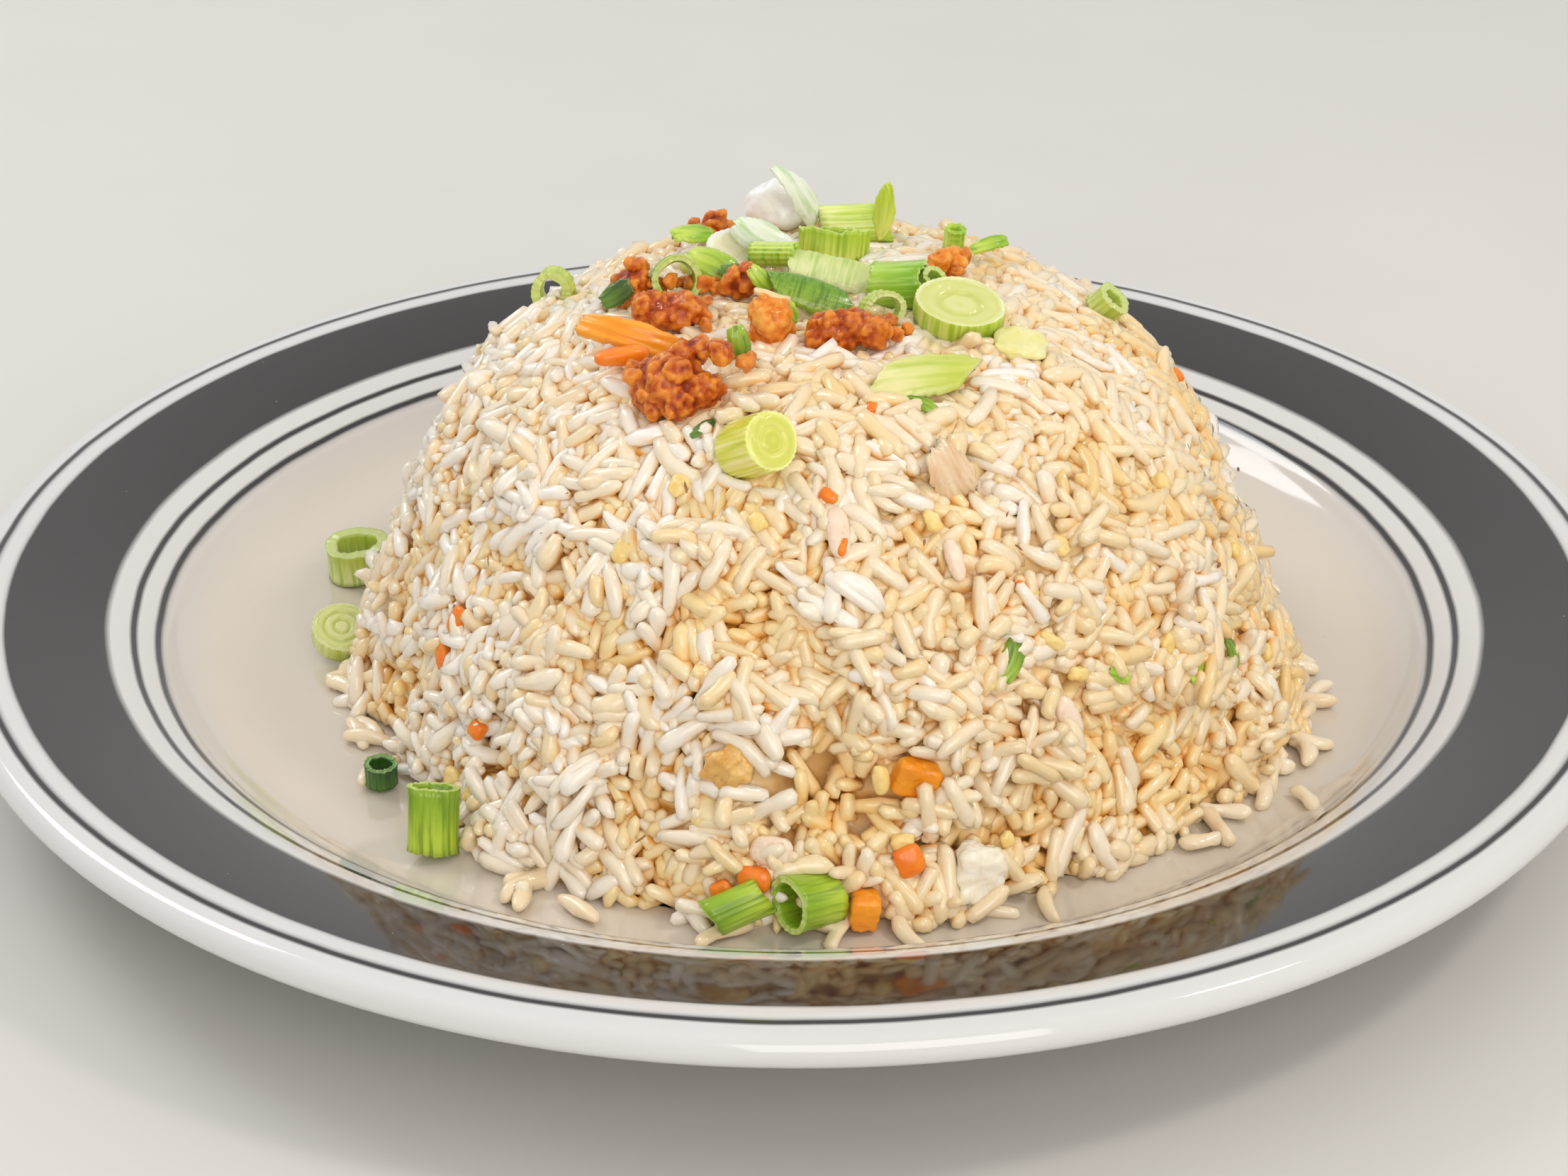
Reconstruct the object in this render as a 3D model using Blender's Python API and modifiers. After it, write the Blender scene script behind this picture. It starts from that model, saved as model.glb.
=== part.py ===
"""A moulded mound of fried rice with its toppings, on a banded diner plate.

The frame has +Z up and its origin on the foot of the plate, under its centre.
The named sizes below are in millimetres, and every mesh is made in metres.
"""
import math

import bmesh
import bpy
from mathutils import Euler, Vector, noise

MM = 0.001
GAP = 0.3

# Plate: a round rolled-edge diner plate, turned from one profile.
PLATE_RADIUS = 133.35
PLATE_STEPS = 48
FLOOR_TOP = 10.0
FLOOR_RADIUS = 92.0
FLOOR_THICKNESS = 6.0
WELL_RADIUS = 101.65
WELL_RISE = 6.0
BAND_INNER_RADIUS = 109.9
BAND_OUTER_RADIUS = 125.46
BAND_INNER_RISE = 9.87
BAND_OUTER_RISE = 13.67
RIM_THICKNESS = 5.0
LIP_RADIUS = 2.5
LIP_RISE = 11.3
FOOT_OUTER_RADIUS = 79.0
FOOT_INNER_RADIUS = 69.5
FOOT_FLAT_OUTER = 76.5
FOOT_FLAT_INNER = 72.0

# Rice: height falls with radius as 1 - (r / R) ** MOUND_POWER, like a turned-out bowl.
MOUND_X = 4.8
MOUND_Y = -12.4
MOUND_HEIGHT = 63.0
MOUND_RADIUS = 74.6
MOUND_POWER = 4.6
MOUND_UNEVEN = 0.03
MOUND_GRAIN = 13.0

# Where the rice spreads (+) or draws in (-) near the plate: azimuth, share of radius, spread.
MOUND_SKIRT = (
    (-108.0, 0.055, 34.0),
    (-147.0, -0.055, 12.0),
    (-128.0, 0.02, 8.0),
    (-178.0, 0.015, 14.0),
    (-8.0, 0.03, 24.0),
)


def clear_scene():
    """Remove every object of the open file."""
    for thing in list(bpy.data.objects):
        bpy.data.objects.remove(thing, do_unlink=True)


def new_collection(name):
    """Make a collection and link it to the scene."""
    group = bpy.data.collections.new(name)
    bpy.context.scene.collection.children.link(group)
    return group


def finish(name, red, green, blue, roughness=0.5):
    """Make a Principled material for one sub-part."""
    material = bpy.data.materials.new(name)
    material.use_nodes = True
    shader = material.node_tree.nodes["Principled BSDF"]
    shader.inputs["Base Color"].default_value = (red, green, blue, 1.0)
    shader.inputs["Roughness"].default_value = roughness
    shader.inputs["Metallic"].default_value = 0.0
    material.diffuse_color = (red, green, blue, 1.0)
    return material


def add_part(name, bm, material, location=(0, 0, 0), turn=(0, 0, 0), scale=(1, 1, 1)):
    """Turn a bmesh into a named object, placed in mm and turned in degrees."""
    mesh = bpy.data.meshes.new(name)
    bm.to_mesh(mesh)
    bm.free()
    mesh.shade_smooth()
    mesh.materials.append(material)
    part = bpy.data.objects.new(name, mesh)
    part.location = Vector(location) * MM
    part.rotation_euler = Euler([math.radians(angle) for angle in turn])
    part.scale = scale
    PARTS.objects.link(part)
    return part


def turned(name, profile, steps, material, **place):
    """Turn a profile of (radius, height) points about +Z; it starts and ends on the axis."""
    bm = bmesh.new()
    points = [bm.verts.new((radius * MM, 0, height * MM)) for radius, height in profile]
    for first, second in zip(points, points[1:]):
        bm.edges.new((first, second))
    part = add_part(name, bm, material, **place)
    screw = part.modifiers.new("turn", "SCREW")
    screw.axis = "Z"
    screw.angle = math.tau
    screw.steps = steps
    screw.render_steps = steps
    screw.use_merge_vertices = True
    screw.merge_threshold = 0.00001
    return part


def skin(name, shape, across, along, thickness, material, **place):
    """Bend a grid by shape(u, v) in mm and give it a thickness inward; a closed tube is welded."""
    bm = bmesh.new()
    bmesh.ops.create_grid(bm, x_segments=across, y_segments=along, size=0.5)
    for vert in bm.verts:
        vert.co = Vector(shape(vert.co.x + 0.5, vert.co.y + 0.5)) * MM
    bmesh.ops.remove_doubles(bm, verts=bm.verts, dist=0.00002)
    part = add_part(name, bm, material, **place)
    solidify = part.modifiers.new("thickness", "SOLIDIFY")
    solidify.thickness = thickness * MM
    solidify.offset = -1.0
    return part


def tube_shape(width, depth, length, slant=0.0):
    """A cut length of hollow stem about +Z, its ends cut on a slant."""
    def shape(u, v):
        angle = math.tau * u
        end = (v - 0.5) * (length + slant * math.cos(angle))
        return (0.5 * width * math.cos(angle), 0.5 * depth * math.sin(angle), end)
    return shape


def strip_shape(length, width, bend, cup, tip):
    """A strip along +X that arcs downward by bend degrees, cups sideways and narrows at its ends."""
    turn = math.radians(bend)
    radius = length / turn

    def shape(u, v):
        reach = turn * (u - 0.5)
        y = (v - 0.5) * width * (tip + (1.0 - tip) * math.sin(math.pi * u) ** 0.7)
        lift = radius - cup * (2.0 * v - 1.0) ** 2
        return (lift * math.sin(reach), y, lift * math.cos(reach) - radius)
    return shape


def lump(name, size, knobs, depth, seed, material, detail=3, **place):
    """A knobbly piece: a sphere swollen over scattered cells, sized in mm along its own axes."""
    bm = bmesh.new()
    bmesh.ops.create_icosphere(bm, subdivisions=detail, radius=0.5)
    shift = Vector((seed * 3.7, seed * 1.9, seed * 5.3))
    for vert in bm.verts:
        cell_distance = noise.voronoi(vert.co * knobs + shift)[0][0]
        swell = 1.0 + depth * (0.45 - cell_distance)
        swell += 0.5 * depth * noise.noise(vert.co * knobs * 0.6 - shift)
        vert.co = Vector(a * b for a, b in zip(vert.co * swell, size)) * MM
    return add_part(name, bm, material, **place)


def chunk(name, size, edge, material, skew=0.0, **place):
    """A cut block with softened edges, sheared a little so that its faces aren't square."""
    bm = bmesh.new()
    bmesh.ops.create_cube(bm, size=1.0)
    for vert in bm.verts:
        vert.co.x += skew * vert.co.y
        vert.co.y *= 1.0 + skew * vert.co.z
        vert.co = Vector(a * b for a, b in zip(vert.co, size)) * MM
    part = add_part(name, bm, material, **place)
    bevel = part.modifiers.new("soft edge", "BEVEL")
    bevel.width = edge * MM
    bevel.segments = 2
    return part


def plate_profile():
    """The plate's half section, from the middle of the well over the lip to the foot."""
    well = FLOOR_TOP + WELL_RISE
    band_in = FLOOR_TOP + BAND_INNER_RISE
    band_out = FLOOR_TOP + BAND_OUTER_RISE
    lip_x = PLATE_RADIUS - LIP_RADIUS
    lip_z = FLOOR_TOP + LIP_RISE
    underside = FLOOR_TOP - FLOOR_THICKNESS
    top = [(0, FLOOR_TOP), (FLOOR_RADIUS, FLOOR_TOP)]
    cove = WELL_RADIUS - FLOOR_RADIUS
    for part_way in (0.35, 0.7):
        top.append((FLOOR_RADIUS + cove * part_way, FLOOR_TOP + WELL_RISE * part_way ** 2.0))
    top.append((WELL_RADIUS, well))
    top.append((0.5 * (WELL_RADIUS + BAND_INNER_RADIUS), 0.5 * (well + band_in) + 0.05))
    top.append((BAND_INNER_RADIUS, band_in))
    top.append((BAND_OUTER_RADIUS, band_out))
    top.append((0.5 * (BAND_OUTER_RADIUS + lip_x), lip_z + LIP_RADIUS + 0.1))
    lip = []
    for angle in (90, 45, 0, -45, -90):
        turn = math.radians(angle)
        lip.append((lip_x + LIP_RADIUS * math.cos(turn), lip_z + LIP_RADIUS * math.sin(turn)))
    under = [
        (BAND_OUTER_RADIUS - 0.4, band_out - RIM_THICKNESS - 0.4),
        (BAND_INNER_RADIUS - 1.0, band_in - RIM_THICKNESS - 0.6),
        (WELL_RADIUS - 2.0, underside + 4.6),
        (FLOOR_RADIUS - 1.0, underside + 0.6),
        (FOOT_OUTER_RADIUS, underside - 0.2),
        (FOOT_FLAT_OUTER, 0.0),
        (FOOT_FLAT_INNER, 0.0),
        (FOOT_INNER_RADIUS, underside - 0.2),
        (0, underside),
    ]
    return top + lip + under


def make_plate():
    """The glazed diner plate."""
    return turned("plate", plate_profile(), PLATE_STEPS, finish("glazed plate", 0.82, 0.80, 0.76, 0.15))


def mound_radius(azimuth, rise):
    """The mound's radius towards an azimuth in degrees, with the skirt of rice near the plate."""
    swell = 0.0
    for centre, amount, spread in MOUND_SKIRT:
        away = (azimuth - centre + 180.0) % 360.0 - 180.0
        swell += amount * math.exp(-(away / spread) ** 2)
    return MOUND_RADIUS * (1.0 + swell * (1.0 - rise) ** 2.5)


def mound_point(direction):
    """Where a ray from the middle of the base leaves the mound."""
    flat = math.hypot(direction.x, direction.y)
    azimuth = math.degrees(math.atan2(direction.y, direction.x))
    low, high = 0.0, 1.6 * MOUND_RADIUS
    for _ in range(40):
        reach = 0.5 * (low + high)
        rise = min(max(reach * direction.z / MOUND_HEIGHT, 0.0), 1.0)
        radius = mound_radius(azimuth, rise)
        top = MOUND_HEIGHT * (1.0 - min(reach * flat / radius, 2.0) ** MOUND_POWER)
        if reach * direction.z < top:
            low = reach
        else:
            high = reach
    reach = 0.5 * (low + high)
    reach *= 1.0 + MOUND_UNEVEN * noise.noise(direction * reach / MOUND_GRAIN)
    return direction * reach


def make_rice_heap():
    """The heap of rice out to its uneven outline, flat underneath."""
    bm = bmesh.new()
    bmesh.ops.create_uvsphere(bm, u_segments=36, v_segments=16, radius=1.0)
    lower = [vert for vert in bm.verts if vert.co.z < -0.001]
    bmesh.ops.delete(bm, geom=lower, context="VERTS")
    rim = [edge for edge in bm.edges if edge.is_boundary]
    bmesh.ops.holes_fill(bm, edges=rim, sides=0)
    base = Vector((MOUND_X, MOUND_Y, FLOOR_TOP + GAP))
    for vert in bm.verts:
        direction = vert.co.normalized()
        if abs(direction.z) < 0.001:
            direction.z = 0.0
        vert.co = (mound_point(direction) + base) * MM
    bmesh.ops.recalc_face_normals(bm, faces=bm.faces)
    return add_part("rice_heap", bm, finish("cooked rice", 0.80, 0.68, 0.50, 0.4))


def make_stem_pieces():
    """Hollow and solid slices of scallion stem on the crown, the shoulders and the plate."""
    pale = finish("pale scallion", 0.72, 0.76, 0.42, 0.35)
    fresh = finish("green scallion", 0.32, 0.52, 0.06, 0.35)
    deep = finish("deep green scallion", 0.07, 0.20, 0.02, 0.35)
    white = finish("white scallion", 0.80, 0.80, 0.66, 0.35)
    pieces = [
        skin("yellow_green_stem", tube_shape(6.6, 6.6, 10.8, slant=1.5), 12, 2, 1.3, pale,
             location=(9.4, 14.4, 74.8), turn=(0, 90, 8)),
        skin("ribbed_green_stem", tube_shape(11.0, 4.4, 4.4, slant=0.6), 12, 2, 0.9, fresh,
             location=(6.0, 4.4, 75.2), turn=(22, 4, -6)),
        skin("folded_green_stem", tube_shape(7.8, 7.0, 7.8, slant=-1.2), 12, 2, 0.9, deep,
             location=(15.6, -13.2, 75.1), turn=(0, 82, -14)),
        skin("white_oval_stem", tube_shape(10.2, 7.2, 3.0), 12, 2, 1.5, white,
             location=(-8.8, 3.4, 74.2), turn=(30, 0, 8)),
        skin("hollow_green_ring", tube_shape(7.2, 7.0, 3.4), 14, 2, 0.8, fresh,
             location=(-18.2, -10.8, 75.0), turn=(68, 0, 12)),
        skin("arched_green_left", tube_shape(6.2, 6.8, 2.8), 12, 2, 1.4, fresh,
             location=(-37.9, 3.2, 67.6), turn=(86, 0, -10)),
        skin("shoulder_green_right", tube_shape(5.4, 4.6, 3.6), 10, 2, 1.2, pale,
             location=(48.2, -3.6, 68.4), turn=(10, 44, -20)),
        skin("thick_ring_left", tube_shape(10.6, 9.6, 5.6, slant=0.5), 14, 2, 1.9, pale,
             location=(-73.6, 16.2, 13.5), turn=(4, -3, 0)),
        skin("dark_ring_left", tube_shape(4.8, 4.2, 3.6), 10, 2, 0.8, deep,
             location=(-61.4, -51.8, 12.7), turn=(10, 0, 16)),
        skin("green_tube_left", tube_shape(7.4, 4.4, 9.8, slant=-0.8), 12, 2, 0.9, fresh,
             location=(-51.5, -69.4, 15.5), turn=(-12, 6, 18)),
        skin("green_tube_front", tube_shape(7.6, 7.8, 7.4, slant=0.8), 12, 2, 0.9, fresh,
             location=(2.2, -88.8, 14.8), turn=(0, -78, 38)),
        skin("green_curl_front", tube_shape(6.2, 4.6, 8.2, slant=2.0), 12, 2, 0.9, fresh,
             location=(-7.2, -89.6, 14.2), turn=(0, -102, 24)),
    ]
    slice_profile = [(0, 0.42), (0.26, 0.5), (0.34, 0.44), (0.5, 0.46), (0.5, -0.46), (0, -0.5)]
    slices = (
        ("oval_slice_right", 13.4, 9.8, 4.0, pale, (24.2, -22.6, 75.2), (12, 3, -4)),
        ("pale_slice_left", 9.4, 9.2, 3.4, pale, (-72.8, -11.0, 14.0), (28, 6, 10)),
        ("rolled_slice_front", 8.3, 8.4, 9.0, pale, (-5.4, -56.6, 69.0), (58, 20, 24)),
    )
    for name, width, depth, thick, material, location, turn in slices:
        profile = [(radius * width, height * thick) for radius, height in slice_profile]
        pieces.append(turned(name, profile, 16, material, location=location, turn=turn,
                             scale=(1.0, depth / width, 1.0)))
    return pieces


def make_leaf_pieces():
    """Cut strips and folds of scallion leaf, and the curled white bulb layer."""
    pale = finish("pale scallion leaf", 0.70, 0.78, 0.45, 0.35)
    fresh = finish("green scallion leaf", 0.30, 0.50, 0.06, 0.3)
    deep = finish("dark scallion leaf", 0.06, 0.20, 0.03, 0.3)
    clear = finish("white scallion skin", 0.78, 0.80, 0.70, 0.3)
    return [
        skin("curled_white_strip", strip_shape(13.0, 3.4, bend=95, cup=0.4, tip=0.6), 8, 2, 0.7, clear,
             location=(1.4, 10.4, 82.4), turn=(8, 38, 6)),
        skin("pale_ribbed_slab", strip_shape(13.2, 6.4, bend=26, cup=0.5, tip=0.9), 6, 2, 1.6, pale,
             location=(5.6, -7.4, 76.2), turn=(26, 10, -6)),
        skin("dark_green_leaf", strip_shape(14.2, 6.2, bend=22, cup=1.0, tip=0.35), 6, 2, 0.9, deep,
             location=(2.6, -17.0, 75.8), turn=(34, 16, -6)),
        skin("slanted_green_slice", strip_shape(15.8, 7.8, bend=20, cup=0.8, tip=0.4), 6, 2, 1.5, pale,
             location=(18.4, -42.4, 74.0), turn=(30, -4, 4)),
        skin("light_green_fold", strip_shape(7.6, 6.0, bend=60, cup=0.6, tip=0.9), 6, 2, 1.2, fresh,
             location=(-13.2, -5.4, 76.0), turn=(34, 16, -24)),
    ]


def make_soft_pieces():
    """The white bulb piece, onion, egg and other soft pieces."""
    white = finish("white bulb", 0.84, 0.82, 0.76, 0.35)
    onion = finish("cooked onion", 0.72, 0.56, 0.38, 0.3)
    egg = finish("golden fried egg", 0.66, 0.40, 0.10, 0.4)
    return [
        lump("white_bulb_piece", (11.8, 8.4, 9.6), 1.6, 0.35, 4, white,
             location=(-2.0, 19.4, 75.8), turn=(0, -12, 0)),
        lump("clear_onion_right", (8.4, 6.6, 2.4), 1.8, 0.3, 9, onion, detail=2,
             location=(33.4, -28.0, 72.2), turn=(8, 12, -10)),
        lump("brown_onion_front", (8.2, 4.2, 8.0), 1.8, 0.3, 12, onion, detail=2,
             location=(21.8, -57.4, 65.0), turn=(38, 0, 12)),
        lump("golden_egg_front", (6.8, 4.4, 6.2), 2.6, 0.4, 15, egg, detail=2,
             location=(-9.2, -79.4, 30.6), turn=(12, 0, 0)),
        lump("pale_onion_front", (7.0, 4.8, 9.2), 1.8, 0.3, 18, onion, detail=2,
             location=(26.0, -83.4, 15.9), turn=(0, 8, 14)),
    ]


def make_fried_pieces():
    """Knobbly clusters of deep-fried garlic and crumb."""
    brown = finish("fried garlic", 0.36, 0.08, 0.015, 0.25)
    amber = finish("amber fried garlic", 0.55, 0.17, 0.02, 0.25)
    return [
        lump("fried_cluster_large", (16.8, 10.6, 9.6), 5.2, 0.55, 2, brown,
             location=(-16.3, -43.0, 72.2), turn=(18, -32, 8)),
        lump("fried_cluster_left", (5.8, 6.0, 8.6), 4.4, 0.5, 5, brown, detail=2,
             location=(-25.0, -11.8, 74.2), turn=(0, 10, 0)),
        lump("fried_cluster_middle", (12.4, 6.2, 5.8), 4.6, 0.45, 7, brown, detail=2,
             location=(-18.6, -21.2, 74.0), turn=(0, 6, 4)),
        lump("fried_cluster_behind", (5.2, 4.6, 4.6), 4.0, 0.5, 11, brown, detail=2,
             location=(-12.8, 12.4, 74.8), turn=(0, 0, 0)),
        lump("fried_piece_inner", (8.4, 5.4, 5.4), 3.6, 0.45, 13, brown, detail=2,
             location=(-7.4, -11.4, 74.4), turn=(0, 0, 12)),
        lump("amber_piece", (6.4, 6.0, 8.8), 2.6, 0.35, 17, amber, detail=2,
             location=(-3.2, -27.4, 74.9), turn=(30, -8, 0)),
        lump("fried_cluster_front", (14.4, 6.4, 5.8), 4.2, 0.5, 19, brown,
             location=(8.2, -29.6, 74.4), turn=(0, 0, -4)),
        lump("fried_piece_right", (7.0, 5.4, 5.0), 2.8, 0.4, 23, amber, detail=2,
             location=(23.2, -3.6, 74.6), turn=(0, 8, 0)),
    ]


def make_carrot_pieces():
    """The curved carrot strip and the cut carrot pieces."""
    carrot = finish("cooked carrot", 0.80, 0.26, 0.02, 0.35)
    return [
        skin("carrot_strip", strip_shape(16.4, 4.4, bend=80, cup=0.2, tip=0.8), 8, 2, 2.0, carrot,
             location=(-23.6, -31.6, 75.0), turn=(50, 14, -6)),
        chunk("carrot_chunk_front", (3.8, 4.2, 4.8), 0.5, carrot, skew=0.12,
              location=(9.8, -88.2, 13.1), turn=(0, 6, 8)),
        chunk("carrot_chip_front", (6.4, 2.8, 5.4), 0.5, carrot, skew=0.2,
              location=(17.0, -79.6, 29.0), turn=(10, 18, 10)),
    ]


def press_into_rice(heap, pieces):
    """Hollow the heap with the outer shape of each piece, leaving a small gap all round."""
    graph = bpy.context.evaluated_depsgraph_get()
    for piece in pieces:
        mesh = bpy.data.meshes.new_from_object(piece.evaluated_get(graph))
        mesh.transform(piece.matrix_world)
        bm = bmesh.new()
        bm.from_mesh(mesh)
        bpy.data.meshes.remove(mesh)
        hull = bmesh.ops.convex_hull(bm, input=bm.verts)
        inner = [thing for thing in hull["geom_interior"] if isinstance(thing, bmesh.types.BMVert)]
        bmesh.ops.delete(bm, geom=inner, context="VERTS")
        faces = set(hull["geom"])
        bmesh.ops.delete(bm, geom=[face for face in bm.faces if face not in faces], context="FACES_ONLY")
        bmesh.ops.recalc_face_normals(bm, faces=bm.faces)
        bm.normal_update()
        centre = sum((vert.co for vert in bm.verts), Vector()) / len(bm.verts)
        moves = [vert.normal * 2.0 * GAP * MM + (vert.co - centre) * 0.02 for vert in bm.verts]
        for vert, move in zip(bm.verts, moves):
            vert.co += move
        outer = bpy.data.meshes.new(piece.name + "_pocket")
        bm.to_mesh(outer)
        bm.free()
        cutter = bpy.data.objects.new(piece.name + "_pocket", outer)
        cutter.hide_render = True
        cutter.display_type = "WIRE"
        CUTTERS.objects.link(cutter)
        cut = heap.modifiers.new(piece.name, "BOOLEAN")
        cut.operation = "DIFFERENCE"
        cut.solver = "EXACT"
        cut.object = cutter


clear_scene()
PARTS = new_collection("fried_rice_plate")
CUTTERS = new_collection("cutters")
make_plate()
rice = make_rice_heap()
toppings = make_stem_pieces() + make_leaf_pieces() + make_soft_pieces()
toppings += make_fried_pieces() + make_carrot_pieces()
bpy.context.view_layer.update()
press_into_rice(rice, toppings)
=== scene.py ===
"""Looks of a plate of fried rice: real grains over a small core, cut toppings and a glazed plate.

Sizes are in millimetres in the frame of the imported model, whose origin is under the plate's centre.
"""

import math

import bmesh
import bpy
import numpy as np
from mathutils import Euler, Matrix, Vector, noise
from mathutils.bvhtree import BVHTree


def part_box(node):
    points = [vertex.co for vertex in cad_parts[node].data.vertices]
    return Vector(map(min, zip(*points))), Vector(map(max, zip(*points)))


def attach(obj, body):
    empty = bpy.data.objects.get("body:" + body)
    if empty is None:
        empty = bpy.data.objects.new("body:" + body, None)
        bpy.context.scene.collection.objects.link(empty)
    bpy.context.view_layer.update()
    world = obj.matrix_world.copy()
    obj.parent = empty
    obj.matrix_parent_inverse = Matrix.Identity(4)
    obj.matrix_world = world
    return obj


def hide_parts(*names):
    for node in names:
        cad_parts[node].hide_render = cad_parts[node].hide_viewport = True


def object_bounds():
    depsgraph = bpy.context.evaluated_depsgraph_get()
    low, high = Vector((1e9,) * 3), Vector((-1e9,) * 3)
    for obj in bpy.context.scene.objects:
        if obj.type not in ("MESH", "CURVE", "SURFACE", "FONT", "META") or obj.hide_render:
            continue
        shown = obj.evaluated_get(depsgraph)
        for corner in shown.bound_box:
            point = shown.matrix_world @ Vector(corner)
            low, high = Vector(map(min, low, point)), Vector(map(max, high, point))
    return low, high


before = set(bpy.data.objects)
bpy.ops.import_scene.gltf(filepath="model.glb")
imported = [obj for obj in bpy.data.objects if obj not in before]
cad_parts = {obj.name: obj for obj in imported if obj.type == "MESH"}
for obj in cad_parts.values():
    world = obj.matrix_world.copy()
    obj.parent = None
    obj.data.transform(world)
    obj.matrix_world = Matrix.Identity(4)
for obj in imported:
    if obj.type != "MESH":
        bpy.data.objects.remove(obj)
CAD_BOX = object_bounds()

MM = 0.001
UP = np.array((0.0, 0.0, 1.0))

# Plate, by radius: pinstripes, the wide band and the rolled lip.
PLATE_RADIUS = 0.5 * (CAD_BOX[1].x - CAD_BOX[0].x) / MM
WELL_FLOOR = 10.0
WELL_RADIUS = 101.65
FLOOR_RADIUS = 92.0
STRIPE_EDGES = (101.65, 103.01, 105.43, 106.62, 109.90, 125.46, 128.20, 129.46)

# Rice: the moulded surface falls with radius as 1 - (r / R) ** power, as a turned-out bowl does.
HEAP_LOW, HEAP_HIGH = (np.array(corner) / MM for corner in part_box("rice_heap"))
MOUND_CENTRE = np.array((4.8, -12.4, WELL_FLOOR))
MOUND_HEIGHT = 63.0
MOUND_RADIUS = 74.6
MOUND_POWER = 4.6
MOUND_SKIRT = (
    (-108.0, 0.055, 34.0),
    (-147.0, -0.055, 12.0),
    (-128.0, 0.02, 8.0),
    (-178.0, 0.015, 14.0),
    (-8.0, 0.03, 24.0),
)
GRAIN_LENGTH = 9.2
GRAIN_RADIUS = 1.3
RICE_DEPTH = 6.0
BEADS = 5


def paint(code):
    """Turn an sRGB hex colour into the linear colour that shaders use."""
    parts = [int(code[i:i + 2], 16) / 255.0 for i in (1, 3, 5)]
    return tuple(c / 12.92 if c <= 0.04045 else ((c + 0.055) / 1.055) ** 2.4 for c in parts) + (1.0,)


def per(size):
    """The texture scale whose pattern repeats about every size mm."""
    return 1.0 / (size * MM)


def add(tree, kind, settings=None, links=None):
    """Add one shader node: settings fill its sockets or its own options, links feed its sockets."""
    made = tree.nodes.new("ShaderNode" + kind)
    for key, value in (settings or {}).items():
        if key == "stops":
            made.color_ramp.elements.remove(made.color_ramp.elements[0])
            for index, (place, colour) in enumerate(value):
                stop = made.color_ramp.elements[0] if index == 0 else made.color_ramp.elements.new(place)
                stop.position = place
                stop.color = colour if len(colour) == 4 else tuple(colour) * 3 + (1.0,)
        elif isinstance(key, int) or key in made.inputs:
            made.inputs[key].default_value = value
        else:
            setattr(made, key, value)
    for key, source in (links or {}).items():
        tree.links.new(source, made.inputs[key])
    return made


def new_material(name, **shader):
    """A material with one Principled shader, whose sockets are set by name."""
    material = bpy.data.materials.new(name)
    material.use_nodes = True
    tree = material.node_tree
    body = tree.nodes["Principled BSDF"]
    for key, value in shader.items():
        body.inputs[key.replace("_", " ")].default_value = value
    return material, tree, body


# ---------------------------------------------------------------- meshes

def loft_faces(rings, around, wrapped=False):
    """Quads between rings of points, and the fans that close both ends, for points in ring order."""
    ring, spot = np.meshgrid(np.arange(rings if wrapped else rings - 1), np.arange(around), indexing="ij")
    after = (spot + 1) % around
    upper = (ring + 1) % rings
    corners = (ring * around + spot, ring * around + after, upper * around + after, upper * around + spot)
    quads = np.stack(corners, -1).reshape(-1, 4)
    if wrapped:
        return quads, np.zeros((0, 3), int)
    spot = np.arange(around)
    after = (spot + 1) % around
    first = np.stack((np.full(around, rings * around), after, spot), -1)
    last_row = (rings - 1) * around
    last = np.stack((np.full(around, rings * around + 1), last_row + spot, last_row + after), -1)
    return quads, np.concatenate((first, last))


def mesh_object(name, points, quads, triangles, material):
    """A smooth mesh object from points in mm, quads and triangles."""
    mesh = bpy.data.meshes.new(name)
    mesh.vertices.add(len(points))
    mesh.vertices.foreach_set("co", (np.asarray(points, np.float32) * MM).ravel())
    corners = np.concatenate((quads.ravel(), triangles.ravel())).astype(np.int32)
    sizes = np.concatenate((np.full(len(quads), 4), np.full(len(triangles), 3)))
    mesh.loops.add(len(corners))
    mesh.loops.foreach_set("vertex_index", corners)
    mesh.polygons.add(len(sizes))
    mesh.polygons.foreach_set("loop_start", (np.cumsum(sizes) - sizes).astype(np.int32))
    mesh.update(calc_edges=True)
    mesh.validate()
    mesh.shade_smooth()
    mesh.materials.append(material)
    thing = bpy.data.objects.new(name, mesh)
    bpy.context.scene.collection.objects.link(thing)
    return thing


def loft(name, rings, material, wrapped=False, ends=None):
    """One closed skin through rings of points, shaped (rings, around, 3)."""
    quads, triangles = loft_faces(rings.shape[0], rings.shape[1], wrapped)
    points = rings.reshape(-1, 3)
    if not wrapped:
        caps = (rings[0].mean(0), rings[-1].mean(0)) if ends is None else ends
        points = np.concatenate((points, caps))
    return mesh_object(name, points, quads, triangles, material)


# ---------------------------------------------------------------- plate

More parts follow.
